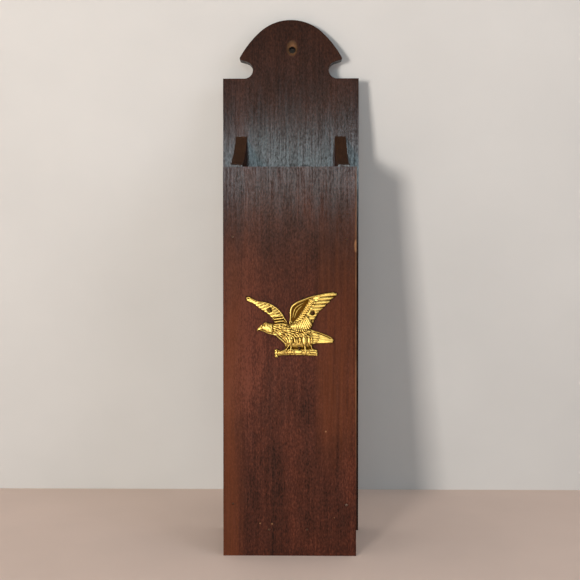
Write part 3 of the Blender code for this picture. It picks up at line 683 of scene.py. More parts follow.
def head_place(name):
    """The middle of a nail's head face and the way that its point goes, from its solid's box."""
    low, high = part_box(name)
    middle = (low + high) / 2
    size = high - low
    if size.y > size.x:
        front = middle.y < 0
        return Vector((middle.x, low.y if front else high.y, middle.z)), Vector((0, 1 if front else -1, 0))
    left = middle.x < 0
    return Vector((low.x if left else high.x, middle.y, middle.z)), Vector((1 if left else -1, 0, 0))


def stand_at(obj, place, inward, spin=0.0):
    """Turns a piece made along -Z to point inward, moves it to its place and puts that in its mesh."""
    turn = Vector((0, 0, -1)).rotation_difference(inward).to_matrix().to_4x4()
    obj.data.transform(Matrix.Translation(place) @ turn @ Matrix.Rotation(spin, 4, "Z"))
    obj.data.update()
    return obj


def sink_brad_rings(context, obj, cad_node):
    """Cuts the crushed rings round the heads of the brads that are driven in from this board's faces."""
    radius = context.scene.match_holder.brad_ring
    low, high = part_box(cad_node)
    rings = []
    for number, name in enumerate(BRADS):
        place, inward = head_place(name)
        if any(place[k] < low[k] - 1.0 * MM or place[k] > high[k] + 1.0 * MM for k in range(3)):
            continue
        profile = ((0.0, 0.5 * MM), (radius * 1.12, 0.5 * MM), (radius, -0.25 * MM), (radius * 0.8, -1.1 * MM),
                   (0.0, -1.1 * MM))
        ring = turned("ring", profile, 14)
        for vertex in ring.data.vertices:
            vertex.co.xy *= 1.0 + 0.12 * noise.noise(Vector((vertex.co.x * 900, vertex.co.y * 900, number)))
        rings.append(stand_at(ring, place, inward, number))
    if not rings:
        return
    deselect()
    for ring in rings:
        ring.select_set(True)
    bpy.context.view_layer.objects.active = rings[0]
    if len(rings) > 1:
        bpy.ops.object.join()
    cut(obj, rings[0])
    remove(rings[0])


def cut_hanging_hole(obj):
    """The nail's hole, and the pear-shaped dish that years of hanging have worn round its mouth."""
    face = BACK_LOW.y
    deselect()
    bpy.ops.mesh.primitive_circle_add(vertices=36, radius=1.0, fill_type="NGON")
    dish = bpy.context.object
    for vertex in dish.data.vertices:
        angle = math.atan2(vertex.co.y, vertex.co.x)
        pear = 1.0 + 0.62 * max(0.0, math.sin(angle)) ** 4 + 0.06 * noise.noise(vertex.co * 2.3)
        vertex.co = HOLE_CENTRE + Vector((math.cos(angle), 0.0, math.sin(angle))) * DISH_RADIUS * pear
        vertex.co.y = face - 0.15 * MM
    with editing(dish):
        for depth, shrink in ((0.3, 0.93), (0.5, 0.84), (0.7, 0.74)):
            bpy.ops.mesh.extrude_region_move(TRANSFORM_OT_translate={"value": (0.0, depth * MM, 0.0)})
            bpy.ops.transform.resize(value=(shrink, 1.0, shrink), center_override=tuple(HOLE_CENTRE))
    cut(obj, dish)
    remove(dish)
    drill = turned("drill", ((0.0, 1.0 * MM), (HOLE_RADIUS * 1.08, 1.0 * MM), (HOLE_RADIUS * 0.97, -5 * MM),
                             (HOLE_RADIUS, -10 * MM), (0.0, -10 * MM)), 32)
    for vertex in drill.data.vertices:
        vertex.co.xy *= 1.0 + 0.06 * noise.noise(vertex.co * 700)
    stand_at(drill, Vector((HOLE_CENTRE.x, face, HOLE_CENTRE.z)), Vector((0, 1, 0)))
    cut(obj, drill)
    remove(drill)


def cut_chip(obj):
    """The splinter lost from the front board's right edge, which bares the wood."""
    deselect()
    bpy.ops.mesh.primitive_ico_sphere_add(subdivisions=4, radius=1.0)
    chip = bpy.context.object
    for vertex in chip.data.vertices:
        vertex.co *= 1.0 + 0.10 * noise.noise(vertex.co * 1.7)
        vertex.co = vertex.co * CHIP_SIZE + CHIP_CENTRE
    cut(obj, chip)
    remove(chip)


def finish_board(context, board, cad_node, outward, edge_tone=0.9, back_tone=0.75, **look):
    """Sinks its brads' rings, stains its show face, its worn edges and its bare back, and puts it in its place."""
    sink_brad_rings(context, board, cad_node)
    tone = look.pop("tone", 1.0)
    edge = {**look, "tone": tone * edge_tone, "gloss": 0.5, "aged": 0.9}
    dull = {**look, "tone": tone * back_tone, "gloss": 0.05, "aged": 0.6}
    face = {**look, "tone": tone}
    finishes = [
        stained_wood(context, f"{kind}_mahogany_{cad_node}", **settings)
        for kind, settings in (("varnished", face), ("worn", edge), ("unvarnished", dull))
    ]
    paint_faces(board, *finishes, Vector(outward))
    smooth(board)
    finish_piece(board, "wood", cad_node)


class MATCHHOLDER_OT_front(Operator):
    """The front board, with its chipped right edge"""

    bl_idname = "matchholder.front"
    bl_label = "Front board"

    def execute(self, context):
        board = sawn_board(
            context, "front_panel", rectangle(FRONT_LOW.xz, FRONT_HIGH.xz),
            lambda p: Vector((p.x, FRONT_LOW.y, p.y)), Vector((0.0, FRONT_HIGH.y - FRONT_LOW.y, 0.0)),
        )
        cut_chip(board)
        chip = (CHIP_CENTRE, CHIP_SPOT, 1.2)
        # Painted highlight: a pale strip of bare wood colour, without varnish, down the front's right edge where its
        # rounded edge catches the light
        edge_highlight = (Vector((FRONT_HIGH.x, FRONT_FACE, 0.165)), (0.7 * MM, 1.2 * MM, 95 * MM), 0.25)
        marks = [
            (Vector((x * MM, FRONT_FACE, z * MM)), (radius * MM, 1.0 * MM, radius * MM), 0.36)
            for x, z, radius in MARKS
        ]
        finish_board(context, board, "front_board", (0, -1, 0), front=True, gloss=0.30,
                     spots=(chip, edge_highlight, *marks))
        return {"FINISHED"}


class MATCHHOLDER_OT_backboard(Operator):
    """The backboard, with its crown, notches and hanging hole"""

    bl_idname = "matchholder.backboard"
    bl_label = "Backboard"

    def execute(self, context):
        board = sawn_board(
            context, "shaped_backboard", crown_outline(), lambda p: Vector((p.x, BACK_LOW.y, p.y)),
            Vector((0.0, BACK_HIGH.y - BACK_LOW.y, 0.0)),
        )
        cut_hanging_hole(board)
        mouth = Vector((HOLE_CENTRE.x, BACK_LOW.y, HOLE_CENTRE.z + 0.9 * MM))
        finish_board(context, board, "back_board", (0, -1, 0), shift=0.31, tone=0.86, aged=0.5, gloss=0.54,
                     spots=((mouth, (3.3 * MM, 2.4 * MM, 4.9 * MM), 0.24),))
        return {"FINISHED"}


class MATCHHOLDER_OT_sides(Operator):
    """The two side boards, their tops swept up to the backboard"""

    bl_idname = "matchholder.sides"
    bl_label = "Side boards"

    def execute(self, context):
        size = Vector((SIDE_HIGH.x - SIDE_LOW.x, 0.0, 0.0))
        for side, left, outward, shift in (("left", -SIDE_HIGH.x, -1, 0.57), ("right", SIDE_LOW.x, 1, 0.83)):
            board = sawn_board(
                context, f"{side}_side_board", side_outline(context), lambda p, x=left: Vector((x, p.x, p.y)), size
            )
            # Painted light: the sides' top edges and ends, and their inner faces that lie in shade, are stained half
            # as light again
            finish_board(context, board, f"{side}_side", (outward, 0, 0), turn=(0.0, 0.0, math.pi / 2), shift=shift,
                         tone=0.92, gloss=0.30, edge_tone=1.5, back_tone=1.5)
        return {"FINISHED"}


class MATCHHOLDER_OT_bottom(Operator):
    """The bottom board between the walls"""

    bl_idname = "matchholder.bottom"
    bl_label = "Bottom board"

    def execute(self, context):
        gap = context.scene.match_holder.joint
        inner = SIDE_LOW.x - gap
        board = sawn_board(
            context, "bottom_panel", rectangle((-inner, FRONT_HIGH.y + gap), (inner, BACK_LOW.y - gap)),
            lambda p: Vector((p.x, p.y, BOTTOM_LOW.z)), Vector((0.0, 0.0, BOTTOM_HIGH.z - BOTTOM_LOW.z)),
        )
        finish_board(context, board, "bottom_board", (0, 0, -1), turn=(0.0, math.pi / 2, 0.0), shift=1.21, gloss=0.15)
        return {"FINISHED"}


class MATCHHOLDER_OT_brads(Operator):
    """The brads that nail the boards together"""

    bl_idname = "matchholder.brads"
    bl_label = "Brads"

    def execute(self, context):
        finish = context.scene.match_finish
        stained = small_metal("stained_steel", finish.steel, finish.browned_steel, 0.48)
        worn = small_metal("worn_steel", finish.steel, finish.browned_steel, 0.48, 0.3)
        sides = context.scene.match_holder.sides
        model = turned("brad", [(r * MM, z * MM) for r, z in BRAD_SECTION], sides)
        smooth(model)
        for number, name in enumerate(BRADS):
            place, inward = head_place(name)
            brad = copied(model, name.replace("_brad_", "_nail_"))
            # No two heads are hammered alike
            for vertex in brad.data.vertices:
                if vertex.co.z > -1.0 * MM:
                    x, y = vertex.co.xy
                    vertex.co.z += 0.06 * MM * noise.noise(Vector((x * 1400, y * 1400, number * 3.1)))
                    vertex.co.xy *= 1.0 + 0.05 * noise.noise(Vector((x * 700, number * 1.7, y * 700)))
            lean = Matrix.Rotation(0.05 * math.sin(number * 2.4), 4, "X")
            brad.data.transform(lean)
            sunk = place + inward * (0.06 + 0.05 * math.sin(number * 1.9)) * MM
            stand_at(brad, sunk, inward, number * 1.3)
            brad.data.materials.append(worn if name in WORN_BRADS else stained)
            finish_piece(brad, "brad", name)
        remove(model)
        return {"FINISHED"}


class MATCHHOLDER_OT_pins(Operator):
    """The domed pins that hold the eagle"""

    bl_idname = "matchholder.pins"
    bl_label = "Eagle's pins"

    def execute(self, context):
        finish = context.scene.match_finish
        browned = small_metal("browned_brass", finish.pin, finish.browned_pin, 0.34)
        sides = context.scene.match_holder.sides
        model = turned("pin", [(r * MM, z * MM) for r, z in PIN_SECTION], sides)
        smooth(model, 50.0)
        model.data.materials.append(browned)
        for number, name in enumerate(PINS):
            low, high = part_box(name)
            pin = copied(model, name.replace("eagle_pin", "domed_pin"))
            under_head = Vector(((low.x + high.x) / 2, low.y + 1.15 * MM, (low.z + high.z) / 2))
            stand_at(pin, under_head, Vector((0, 1, 0)), number)
            finish_piece(pin, "pin", name)
        remove(model)
        return {"FINISHED"}


# The pressed eagle, worked as a sheet of points with a height at each, in millimetres from its lower left corner


def smooth_line(points, closed=False):
    """A curve through every point, with SPAN_STEPS points for each given one."""
    points = np.asarray(points, float)
    count = len(points)
    spans = count if closed else count - 1
    made = []
    for span in range(spans):
        picks = [(span + k) % count if closed else min(max(span + k, 0), count - 1) for k in (-1, 0, 1, 2)]
        before, start, end, after = points[picks]
        for t in np.linspace(0.0, 1.0, SPAN_STEPS, endpoint=False):
            a, b = -0.5 * t + t**2 - 0.5 * t**3, 1 - 2.5 * t**2 + 1.5 * t**3
            c, d = 0.5 * t + 2 * t**2 - 1.5 * t**3, -0.5 * t**2 + 0.5 * t**3
            made.append(a * before + b * start + c * end + d * after)
    if not closed:
        made.append(points[-1])
    return np.array(made)


def along_line(line, shares):
    """Points at equal shares of a line's length."""
    steps = np.concatenate(([0.0], np.cumsum(np.hypot(*np.diff(line, axis=0).T))))
    at = np.asarray(shares) * steps[-1]
    return np.stack([np.interp(at, steps, line[:, k]) for k in (0, 1)], axis=1)


class Relief:
    """A sheet of points with a height and a depth inside the outline at each."""

    def __init__(self, across, up, width, height):
        self.across, self.up = across, up
        self.width, self.tall = width, height
        self.height = np.zeros_like(across)
        self.inside = np.full_like(across, -9.0)

    def spots(self, shares):
        """Places in millimetres from thousandths of the width and height."""
        return np.asarray(shares, float) / 1000 * (self.width, self.tall)

    def near(self, line, reach):
        """Indices of the points within reach of a line's box."""
        low, high = line.min(0) - reach, line.max(0) + reach
        return np.nonzero(
            (self.across > low[0]) & (self.across < high[0]) & (self.up > low[1]) & (self.up < high[1])
        )[0]

    def measure(self, line, at):
        """For the points at those indices: how far from the line, at what share along it and on which side."""
        px, pz = self.across[at], self.up[at]
        best = np.full(len(at), 1e9)
        share = np.zeros(len(at))
        side = np.ones(len(at))
        lengths = np.hypot(*np.diff(line, axis=0).T)
        total = max(lengths.sum(), 1e-9)
        done = 0.0
        for (x0, z0), (x1, z1), length in zip(line[:-1], line[1:], lengths):
            if length < 1e-9:
                continue
            ux, uz = (x1 - x0) / length, (z1 - z0) / length
            t = np.clip((px - x0) * ux + (pz - z0) * uz, 0.0, length)
            dx, dz = px - (x0 + ux * t), pz - (z0 + uz * t)
            distance = np.hypot(dx, dz)
            closer = distance < best
            best[closer] = distance[closer]
            share[closer] = ((done + t) / total)[closer]
            side[closer] = np.where(ux * dz - uz * dx >= 0, 1.0, -1.0)[closer]
            done += length
        return best, share, side

    def depth_in(self, closed, at):
        """How deep each of the points lies in a closed line; outside it is less than 0."""
        distance, _, _ = self.measure(closed, at)
        px, pz = self.across[at], self.up[at]
        within = np.zeros(len(at), bool)
        for (x0, z0), (x1, z1) in zip(closed[:-1], closed[1:]):
            if z0 != z1:
                within ^= ((z0 > pz) != (z1 > pz)) & (px < (x1 - x0) * (pz - z0) / (z1 - z0) + x0)
        return np.where(within, distance, -distance)

    def area(self, shares, reach):
        """For a smooth closed line through the places: the points near it, and how deep each lies in it."""
        line = smooth_line(self.spots(shares), closed=True)
        closed = np.vstack([line, line[:1]])
        at = self.near(closed, reach)
        return at, self.depth_in(closed, at)

    def stroke(self, shares, reach):
        """For a smooth line through the places: the points near it, their distances from it and shares along it."""
        line = smooth_line(self.spots(shares))
        at = self.near(line, reach)
        return at, *self.measure(line, at)[:2]

    def plate(self, shares, level, swell=0.0, fall=1.0):
        """A flat or domed part with a smooth closed outline."""
        at, depth = self.area(shares, 1.0)
        self.inside[at] = np.maximum(self.inside[at], depth)
        q = np.clip(depth / fall, 0.0, 1.0)
        dome = np.sqrt(1.0 - (1.0 - q) ** 2)
        self.height[at] = np.where(depth > -0.25, np.maximum(self.height[at], level + swell * dome), self.height[at])

    def sink(self, shares, level, slope):
        """Presses a closed area down to a level, with sloping sides."""
        at, depth = self.area(shares, 0.1)
        blend = np.clip(depth / slope, 0.0, 1.0)
        blend = blend * blend * (3 - 2 * blend)
        self.height[at] += (level - self.height[at]) * blend

    def mound(self, shares, half_widths, level, crown):
        """A rounded swelling along a line, blended into what lies under it."""
        at, distance, share = self.stroke(shares, max(half_widths))
        width = np.interp(share, np.linspace(0, 1, len(half_widths)), half_widths)
        q = np.clip(distance / width, 0.0, 1.0)
        top = level + crown * np.sqrt(1.0 - q**2)
        blend = np.clip((1.0 - q) / 0.25, 0.0, 1.0)
        self.height[at] = np.maximum(self.height[at], self.height[at] * (1 - blend) + top * blend)

    def feathers(self, strokes, barb=0.0):
        """Lays overlapping feathers on the sheet; where two cross, the higher shows.

        Each stroke has its start and end in thousandths and then, in millimetres, its bow to the side, its half
        widths from root to tip, its rise at the tip, its crown, its lean to one side and its quill.
        """
        add = np.zeros_like(self.height)
        for start, end, bow, widths, rise, crown, lean, quill in strokes:
            start, end = self.spots(start), self.spots(end)
            way = end - start
            length = np.hypot(*way)
            normal = np.array((-way[1], way[0])) / max(length, 1e-9)
            t = np.linspace(0.0, 1.0, 9)[:, None]
            line = start + way * t + normal * bow * 4 * t * (1 - t)
            at = self.near(line, max(widths) + 0.1)
            distance, share, side = self.measure(line, at)
            width = np.interp(share, np.linspace(0, 1, len(widths)), widths)
            q = distance / width
            profile = np.sqrt(np.clip(1.0 - q**2, 0.0, 1.0))
            tall = rise * (0.15 + 0.85 * share) + crown * profile + lean * side * np.clip(q, 0, 1)
            tall += quill * np.exp(-((distance / 0.16) ** 2)) * (share < 0.97)
            if barb:
                tall += barb * np.cos(2 * math.pi * (share * length - distance * 0.9) / 0.62) * profile
            add[at] = np.maximum(add[at], np.where(q < 1.0, np.maximum(tall, 0.02), 0.0))
        self.height += add

    def groove(self, shares, half_width, depth):
        """Cuts a soft groove along a line."""
        at, distance, _ = self.stroke(shares, half_width)
        q = np.clip(distance / half_width, 0.0, 1.0)
        self.height[at] -= depth * (1.0 - q**2) ** 2

    def row(self, roots, tips, count, widths, rise, crown, lean=0.0, quill=0.0, bow=0.0):
        """Strokes for a row of like feathers from one line of roots to one line of tips."""
        shares = np.linspace(0.0, 1.0, count)
        size = self.width, self.tall
        starts, ends = (
            along_line(smooth_line(self.spots(line)), shares) / size * 1000 for line in (roots, tips)
        )
        return [(start, end, bow, widths, rise, crown, lean, quill) for start, end in zip(starts, ends)]


def blurred(grid, times):
    for _ in range(times):
        for axis in (0, 1):
            before = np.roll(grid, 1, axis)
            after = np.roll(grid, -1, axis)
            grid = 0.25 * before + 0.5 * grid + 0.25 * after
    return grid


def evened(height, mask, times):
    """The heights, blurred with those inside the mask only."""
    return blurred(height * mask, times) / np.maximum(blurred(mask, times), 0.05)


def tarnish_and_shade_left(height, mask):
    """How much tarnish and painted shade each point holds, by how far it lies below those near it and further round
    it.
    """
    fine = evened(height, mask, FINE_BLUR) - height
    broad = np.maximum(evened(height, mask, BROAD_BLUR) - height, 0.0)
    low = np.clip((0.85 - height) / 0.5, 0.0, 1.0)
    return np.clip(fine * FINE_TARNISH_AND_SHADE + broad * BROAD_TARNISH_AND_SHADE + low * LOW_TARNISH_AND_SHADE + 0.25, 0.0, 1.0)


def strike_left_wing(relief, barb):
    relief.plate(LEFT_WING, 1.05, 0.35, 1.2)
    primaries = relief.row(
        ((115, 880), (235, 830), (320, 745), (365, 660), (390, 585)),
        ((22, 882), (72, 838), (140, 770), (222, 690), (296, 590)),
        10, (0.7, 0.95, 0.95, 0.75), 0.18, 0.20, -0.06, 0.05, 0.25,
    )
    coverts = relief.row(
        ((190, 852), (290, 800), (365, 705), (405, 610)),
        ((130, 838), (212, 770), (285, 675), (330, 600)),
        8, (0.6, 0.8, 0.75), 0.30, 0.20, -0.05, 0.04,
    )
    scales = relief.row(
        ((305, 800), (355, 735), (392, 670)),
        ((262, 775), (305, 705), (345, 650)),
        5, (0.5, 0.75, 0.65), 0.40, 0.30,
    )
    relief.feathers(primaries + coverts + scales, barb)
    for level in (637, 597, 555, 515):
        relief.mound(((415, level + 6), (365, level), (318, level - 12)), (0.55, 0.72, 0.55), 1.55, 0.62)
    for level in (617, 575, 535):
        relief.groove(((418, level + 6), (365, level), (305, level - 10)), 0.36, 0.7)
    relief.mound(
        ((455, 545), (428, 598), (406, 648), (378, 700), (344, 745), (292, 798),
         (240, 828), (188, 845), (133, 858), (80, 888), (30, 920), (12, 905)),
        (0.75, 0.75, 0.72, 0.62, 0.52, 0.5, 0.5, 0.45), 1.50, 0.60,
    )
    relief.mound(((12, 905), (20, 880), (50, 857), (85, 832)), (0.45, 0.42, 0.35, 0.2), 1.35, 0.45)
    relief.mound(((462, 560), (455, 528), (458, 500)), (0.5, 0.62, 0.5), 1.7, 0.7)
    relief.groove(((470, 560), (473.5, 510), (468, 470)), 0.5, 0.9)


def strike_right_wing(relief, barb):
    relief.plate(RIGHT_WING, 0.95, 0.30, 1.0)
    # The hollow behind the leading edge, with its two long narrow feathers
    relief.sink(
        ((500, 560), (496, 640), (503, 720), (522, 775), (560, 815), (625, 855), (685, 890),
         (690, 865), (660, 800), (625, 720), (590, 650), (555, 590), (520, 540)),
        0.25, 0.35,
    )
    for line in (
        ((515, 600), (524, 690), (548, 760), (592, 806), (640, 842)),
        ((533, 610), (552, 690), (584, 752), (615, 790)),
    ):
        relief.mound(line, (0.16, 0.30, 0.36, 0.16), 0.30, 0.30)
    flights = [
        (start, end, bow, (0.9, 1.12, 1.18, 0.9), 0.30, 0.42, -0.10, 0.06)
        for start, end, bow in (
            ((720, 922), (985, 966), 0.45), ((715, 878), (948, 908), 0.30),
            ((700, 825), (912, 853), 0.25), ((685, 773), (872, 797), 0.20),
            ((670, 728), (835, 744), 0.15), ((655, 688), (797, 696), 0.10),
            ((640, 650), (775, 648), 0.10), ((625, 612), (757, 603), 0.05),
        )
    ]
    second = relief.row(
        ((575, 560), (625, 645), (662, 725), (706, 830), (745, 905)),
        ((625, 556), (678, 642), (714, 722), (758, 828), (805, 912)),
        10, (0.55, 0.80, 0.62), 0.45, 0.34,
    )
    first = relief.row(
        ((515, 515), (560, 582), (602, 655), (632, 722), (662, 788), (700, 862)),
        ((560, 508), (606, 575), (648, 648), (680, 715), (710, 782), (752, 866)),
        13, (0.5, 0.64, 0.5), 0.62, 0.50,
    )
    relief.feathers(flights + second + first, barb)
    relief.mound(
        ((478, 520), (487, 613), (489, 690), (500, 757), (524, 803), (572, 846),
         (648, 891), (724, 927), (816, 958), (900, 980), (965, 985)),
        (0.80, 0.84, 0.76, 0.62, 0.50, 0.42, 0.40), 1.30, 0.70,
    )


def strike_body(relief, barb):
    relief.plate(WEB, 0.55)
    relief.plate(TAIL, 1.00, 0.25, 1.2)
    tail = relief.row(
        ((655, 405), (660, 360), (668, 315), (690, 262), (720, 235)),
        ((925, 322), (950, 293), (953, 265), (940, 240), (870, 228)),
        7, (0.8, 0.95, 0.95, 0.7), 0.22, 0.30, 0.06, 0.06, -0.3,
    )
    rump = relief.row(
        ((655, 430), (665, 380), (672, 330), (680, 280), (690, 230)),
        ((755, 395), (790, 350), (795, 305), (780, 262), (750, 222)),
        7, (0.6, 0.90, 0.7), 0.40, 0.30, 0.0, 0.06,
    )
    relief.feathers(tail + rump, barb)
    relief.mound(((700, 432), (761, 403), (870, 350), (940, 298)), (0.55, 0.5, 0.42), 1.35, 0.55)
    relief.groove(((735, 395), (800, 368), (880, 325), (925, 295)), 0.32, 0.45)

    relief.plate(BODY, 1.15, 1.15, 5.0)
    scales = []
    for step in range(8):
        back = 655 - step * 44
        scales += relief.row(
            ((back - 10, 455), (back, 420), (back + 10, 385), (back + 4, 345)),
            ((back + 45, 445), (back + 56, 403), (back + 62, 362), (back + 50, 318)),
            4 + step % 2, (0.36, 0.62, 0.45), 0.26, 0.24, 0.0, 0.05,
        )
    relief.feathers(scales)
    # Long feathers of the breeches, and the shorter ones that overlap their roots
    breeches = [
        (start, end, 0.1, (0.5, width, width, 0.32), 0.30, 0.50, 0.0, 0.0)
        for start, end, width in (
            ((448, 300), (464, 215), 0.62), ((476, 315), (490, 186), 0.85),
            ((533, 300), (543, 218), 0.58), ((590, 310), (598, 232), 0.55),
            ((634, 330), (646, 175), 1.25), ((690, 310), (700, 185), 0.95),
            ((722, 300), (724, 215), 0.50),
        )
    ]
    thigh = relief.row(
        ((430, 322), (480, 338), (540, 362), (600, 388), (655, 412)),
        ((450, 285), (506, 292), (568, 312), (632, 342), (690, 376)),
        10, (0.45, 0.66, 0.55), 0.45, 0.30,
    )
    relief.feathers(breeches + thigh)
    relief.groove(((519, 268), (519, 222)), 0.42, 0.9)
    relief.groove(((571, 280), (578, 235)), 0.36, 0.7)
    relief.plate(SHELL, 1.75, 0.45, 1.6)
    relief.feathers(relief.row(
        ((497, 505), (530, 520), (565, 540), (600, 568), (632, 600), (660, 632)),
        ((498, 468), (522, 438), (562, 417), (618, 414), (680, 438), (722, 490)),
        12, (0.40, 0.56, 0.66, 0.56), 0.30, 0.46,
    ))
    relief.mound(((690, 408), (700, 398)), (0.85, 0.85), 1.9, 0.7)
    relief.groove(((672, 350), (680, 372), (694, 382)), 0.34, 0.6)
    # Smooth rim of the breast
    relief.mound(
        ((300, 360), (331, 342), (361, 308), (385, 278), (410, 248), (432, 207), (442, 175)),
        (0.45, 0.52, 0.52, 0.48, 0.4), 1.55, 0.55,
    )
    relief.groove(((345, 356), (378, 316), (410, 278), (437, 236)), 0.32, 0.55)


def strike_head(relief):
    relief.plate(HEAD, 1.15, 1.25, 3.4)
    neck = []
    for step in range(4):
        back = 405 - step * 34
        neck += relief.row(
            ((back, 520), (back - 12, 450), (back - 36, 372)),
            ((back + 42, 502), (back + 33, 430), (back + 4, 345)),
            5 + step % 2, (0.36, 0.64, 0.48), 0.26, 0.26, 0.0, 0.05,
        )
    relief.feathers(neck)
    relief.mound(((255, 452), (268, 432), (272, 408)), (1.35, 1.55, 1.2), 1.9, 0.75)
    relief.mound(((176, 478), (155, 462), (138, 440), (129, 414)), (1.15, 0.95, 0.62, 0.30), 1.15, 0.85)
    relief.mound(((163, 492), (190, 518), (214, 530), (245, 522)), (0.3, 0.42, 0.46, 0.3), 2.0, 0.45)
    for line, width, depth in (
        (((186, 500), (177, 470), (182, 435), (190, 418)), 0.30, 0.60),
        (((142, 417), (170, 428), (200, 422), (224, 404)), 0.28, 0.60),
        (((164, 459), (169, 456)), 0.24, 0.40),
        (((199, 494), (208, 502), (217, 503)), 0.28, 0.60),
        (((204, 478), (216, 474)), 0.28, 0.45),
        (((238, 504), (237, 490)), 0.30, 0.45),
        (((300, 512), (293, 470), (302, 420), (292, 380)), 0.42, 0.65),
        (((232, 392), (262, 376), (290, 366)), 0.26, 0.40),
    ):
        relief.groove(line, width, depth)
    relief.mound(((210, 488), (214, 488)), (0.34, 0.34), 1.9, 0.42)


def strike_perch(relief):
    relief.plate(LOG, 1.05, 1.05, 1.7)
    for line, width, depth in (
        (((345, 58), (430, 58), (520, 66)), 0.34, 0.50),
        (((350, 98), (400, 90), (440, 92)), 0.30, 0.40),
        (((545, 56), (600, 62), (640, 55)), 0.30, 0.40),
        (((680, 60), (730, 66), (768, 60)), 0.30, 0.40),
        (((700, 100), (745, 98), (772, 102)), 0.26, 0.35),
        (((350, 125), (346, 60), (358, 20)), 0.34, 0.50),
    ):
        relief.groove(line, width, depth)
    for place, radius in (
        ((326, 110), 0.75), ((336, 126), 0.55), ((324, 62), 0.70), ((324, 25), 0.60),
        ((343, 12), 0.50), ((776, 45), 0.70), ((772, 112), 0.60),
    ):
        relief.mound((place, (place[0] + 4, place[1])), (radius, radius), 1.75, 0.5)
    # Shanks, then the toes that grip the perch
    relief.mound(((487, 240), (495, 180), (492, 115)), (0.75, 0.66, 0.7), 1.45, 0.9)
    relief.mound(((636, 250), (648, 170), (654, 105)), (0.80, 0.70, 0.75), 1.45, 1.0)
    for toe in (
        ((480, 205), (462, 165), (440, 120), (425, 80)),
        ((492, 130), (462, 112), (448, 60)),
        ((492, 125), (492, 90), (485, 50)),
        ((498, 130), (524, 110), (536, 62)),
        ((648, 120), (620, 108), (603, 66)),
        ((654, 120), (658, 80), (661, 36)),
        ((658, 120), (690, 108), (702, 65)),
        ((715, 190), (722, 150), (735, 132)),
    ):
        relief.mound(toe, (0.55, 0.52, 0.45, 0.22), 1.85, 0.75)
    relief.groove(((470, 158), (466, 140)), 0.42, 0.8)


def strike_eagle(relief, barb):
    strike_left_wing(relief, barb)
    strike_right_wing(relief, barb)
    strike_body(relief, barb)
    strike_head(relief)
    strike_perch(relief)
    # Flat seats under the pins' heads
    for place in PIN_PLACES:
        spot = relief.spots(place)
        distance = np.hypot(relief.across - spot[0], relief.up - spot[1])
        blend = np.clip((1.70 - distance) / 0.35, 0.0, 1.0)
        relief.height += (np.minimum(relief.height, 1.35) - relief.height) * blend


def close_sheet(obj):
    """Clears what lies outside the outline, then draws the edge back to the board and closes the back."""
    bpy.ops.object.mode_set(mode="EDIT")
    bpy.ops.mesh.delete(type="VERT")
    bpy.ops.mesh.select_all(action="SELECT")
    bpy.ops.mesh.delete_loose(use_verts=True, use_edges=True, use_faces=False)
    bpy.ops.mesh.select_mode(type="EDGE")
    bpy.ops.mesh.select_all(action="DESELECT")
    bpy.ops.mesh.select_non_manifold(
        extend=False, use_wire=False, use_boundary=True, use_multi_face=False, use_non_contiguous=False,
        use_verts=False,
    )
    bpy.ops.mesh.extrude_edges_move(TRANSFORM_OT_translate={"value": (0.0, 0.1 * MM, 0.0)})
    bpy.ops.object.mode_set(mode="OBJECT")
    for vertex in obj.data.vertices:
        if vertex.select:
            vertex.co.y = FRONT_FACE - 0.02 * MM
    bpy.ops.object.mode_set(mode="EDIT")
    bpy.ops.mesh.edge_face_add()
    bpy.ops.mesh.select_mode(type="FACE")
    bpy.ops.mesh.select_all(action="SELECT")
    bpy.ops.mesh.normals_make_consistent(inside=False)
    bpy.ops.object.mode_set(mode="OBJECT")


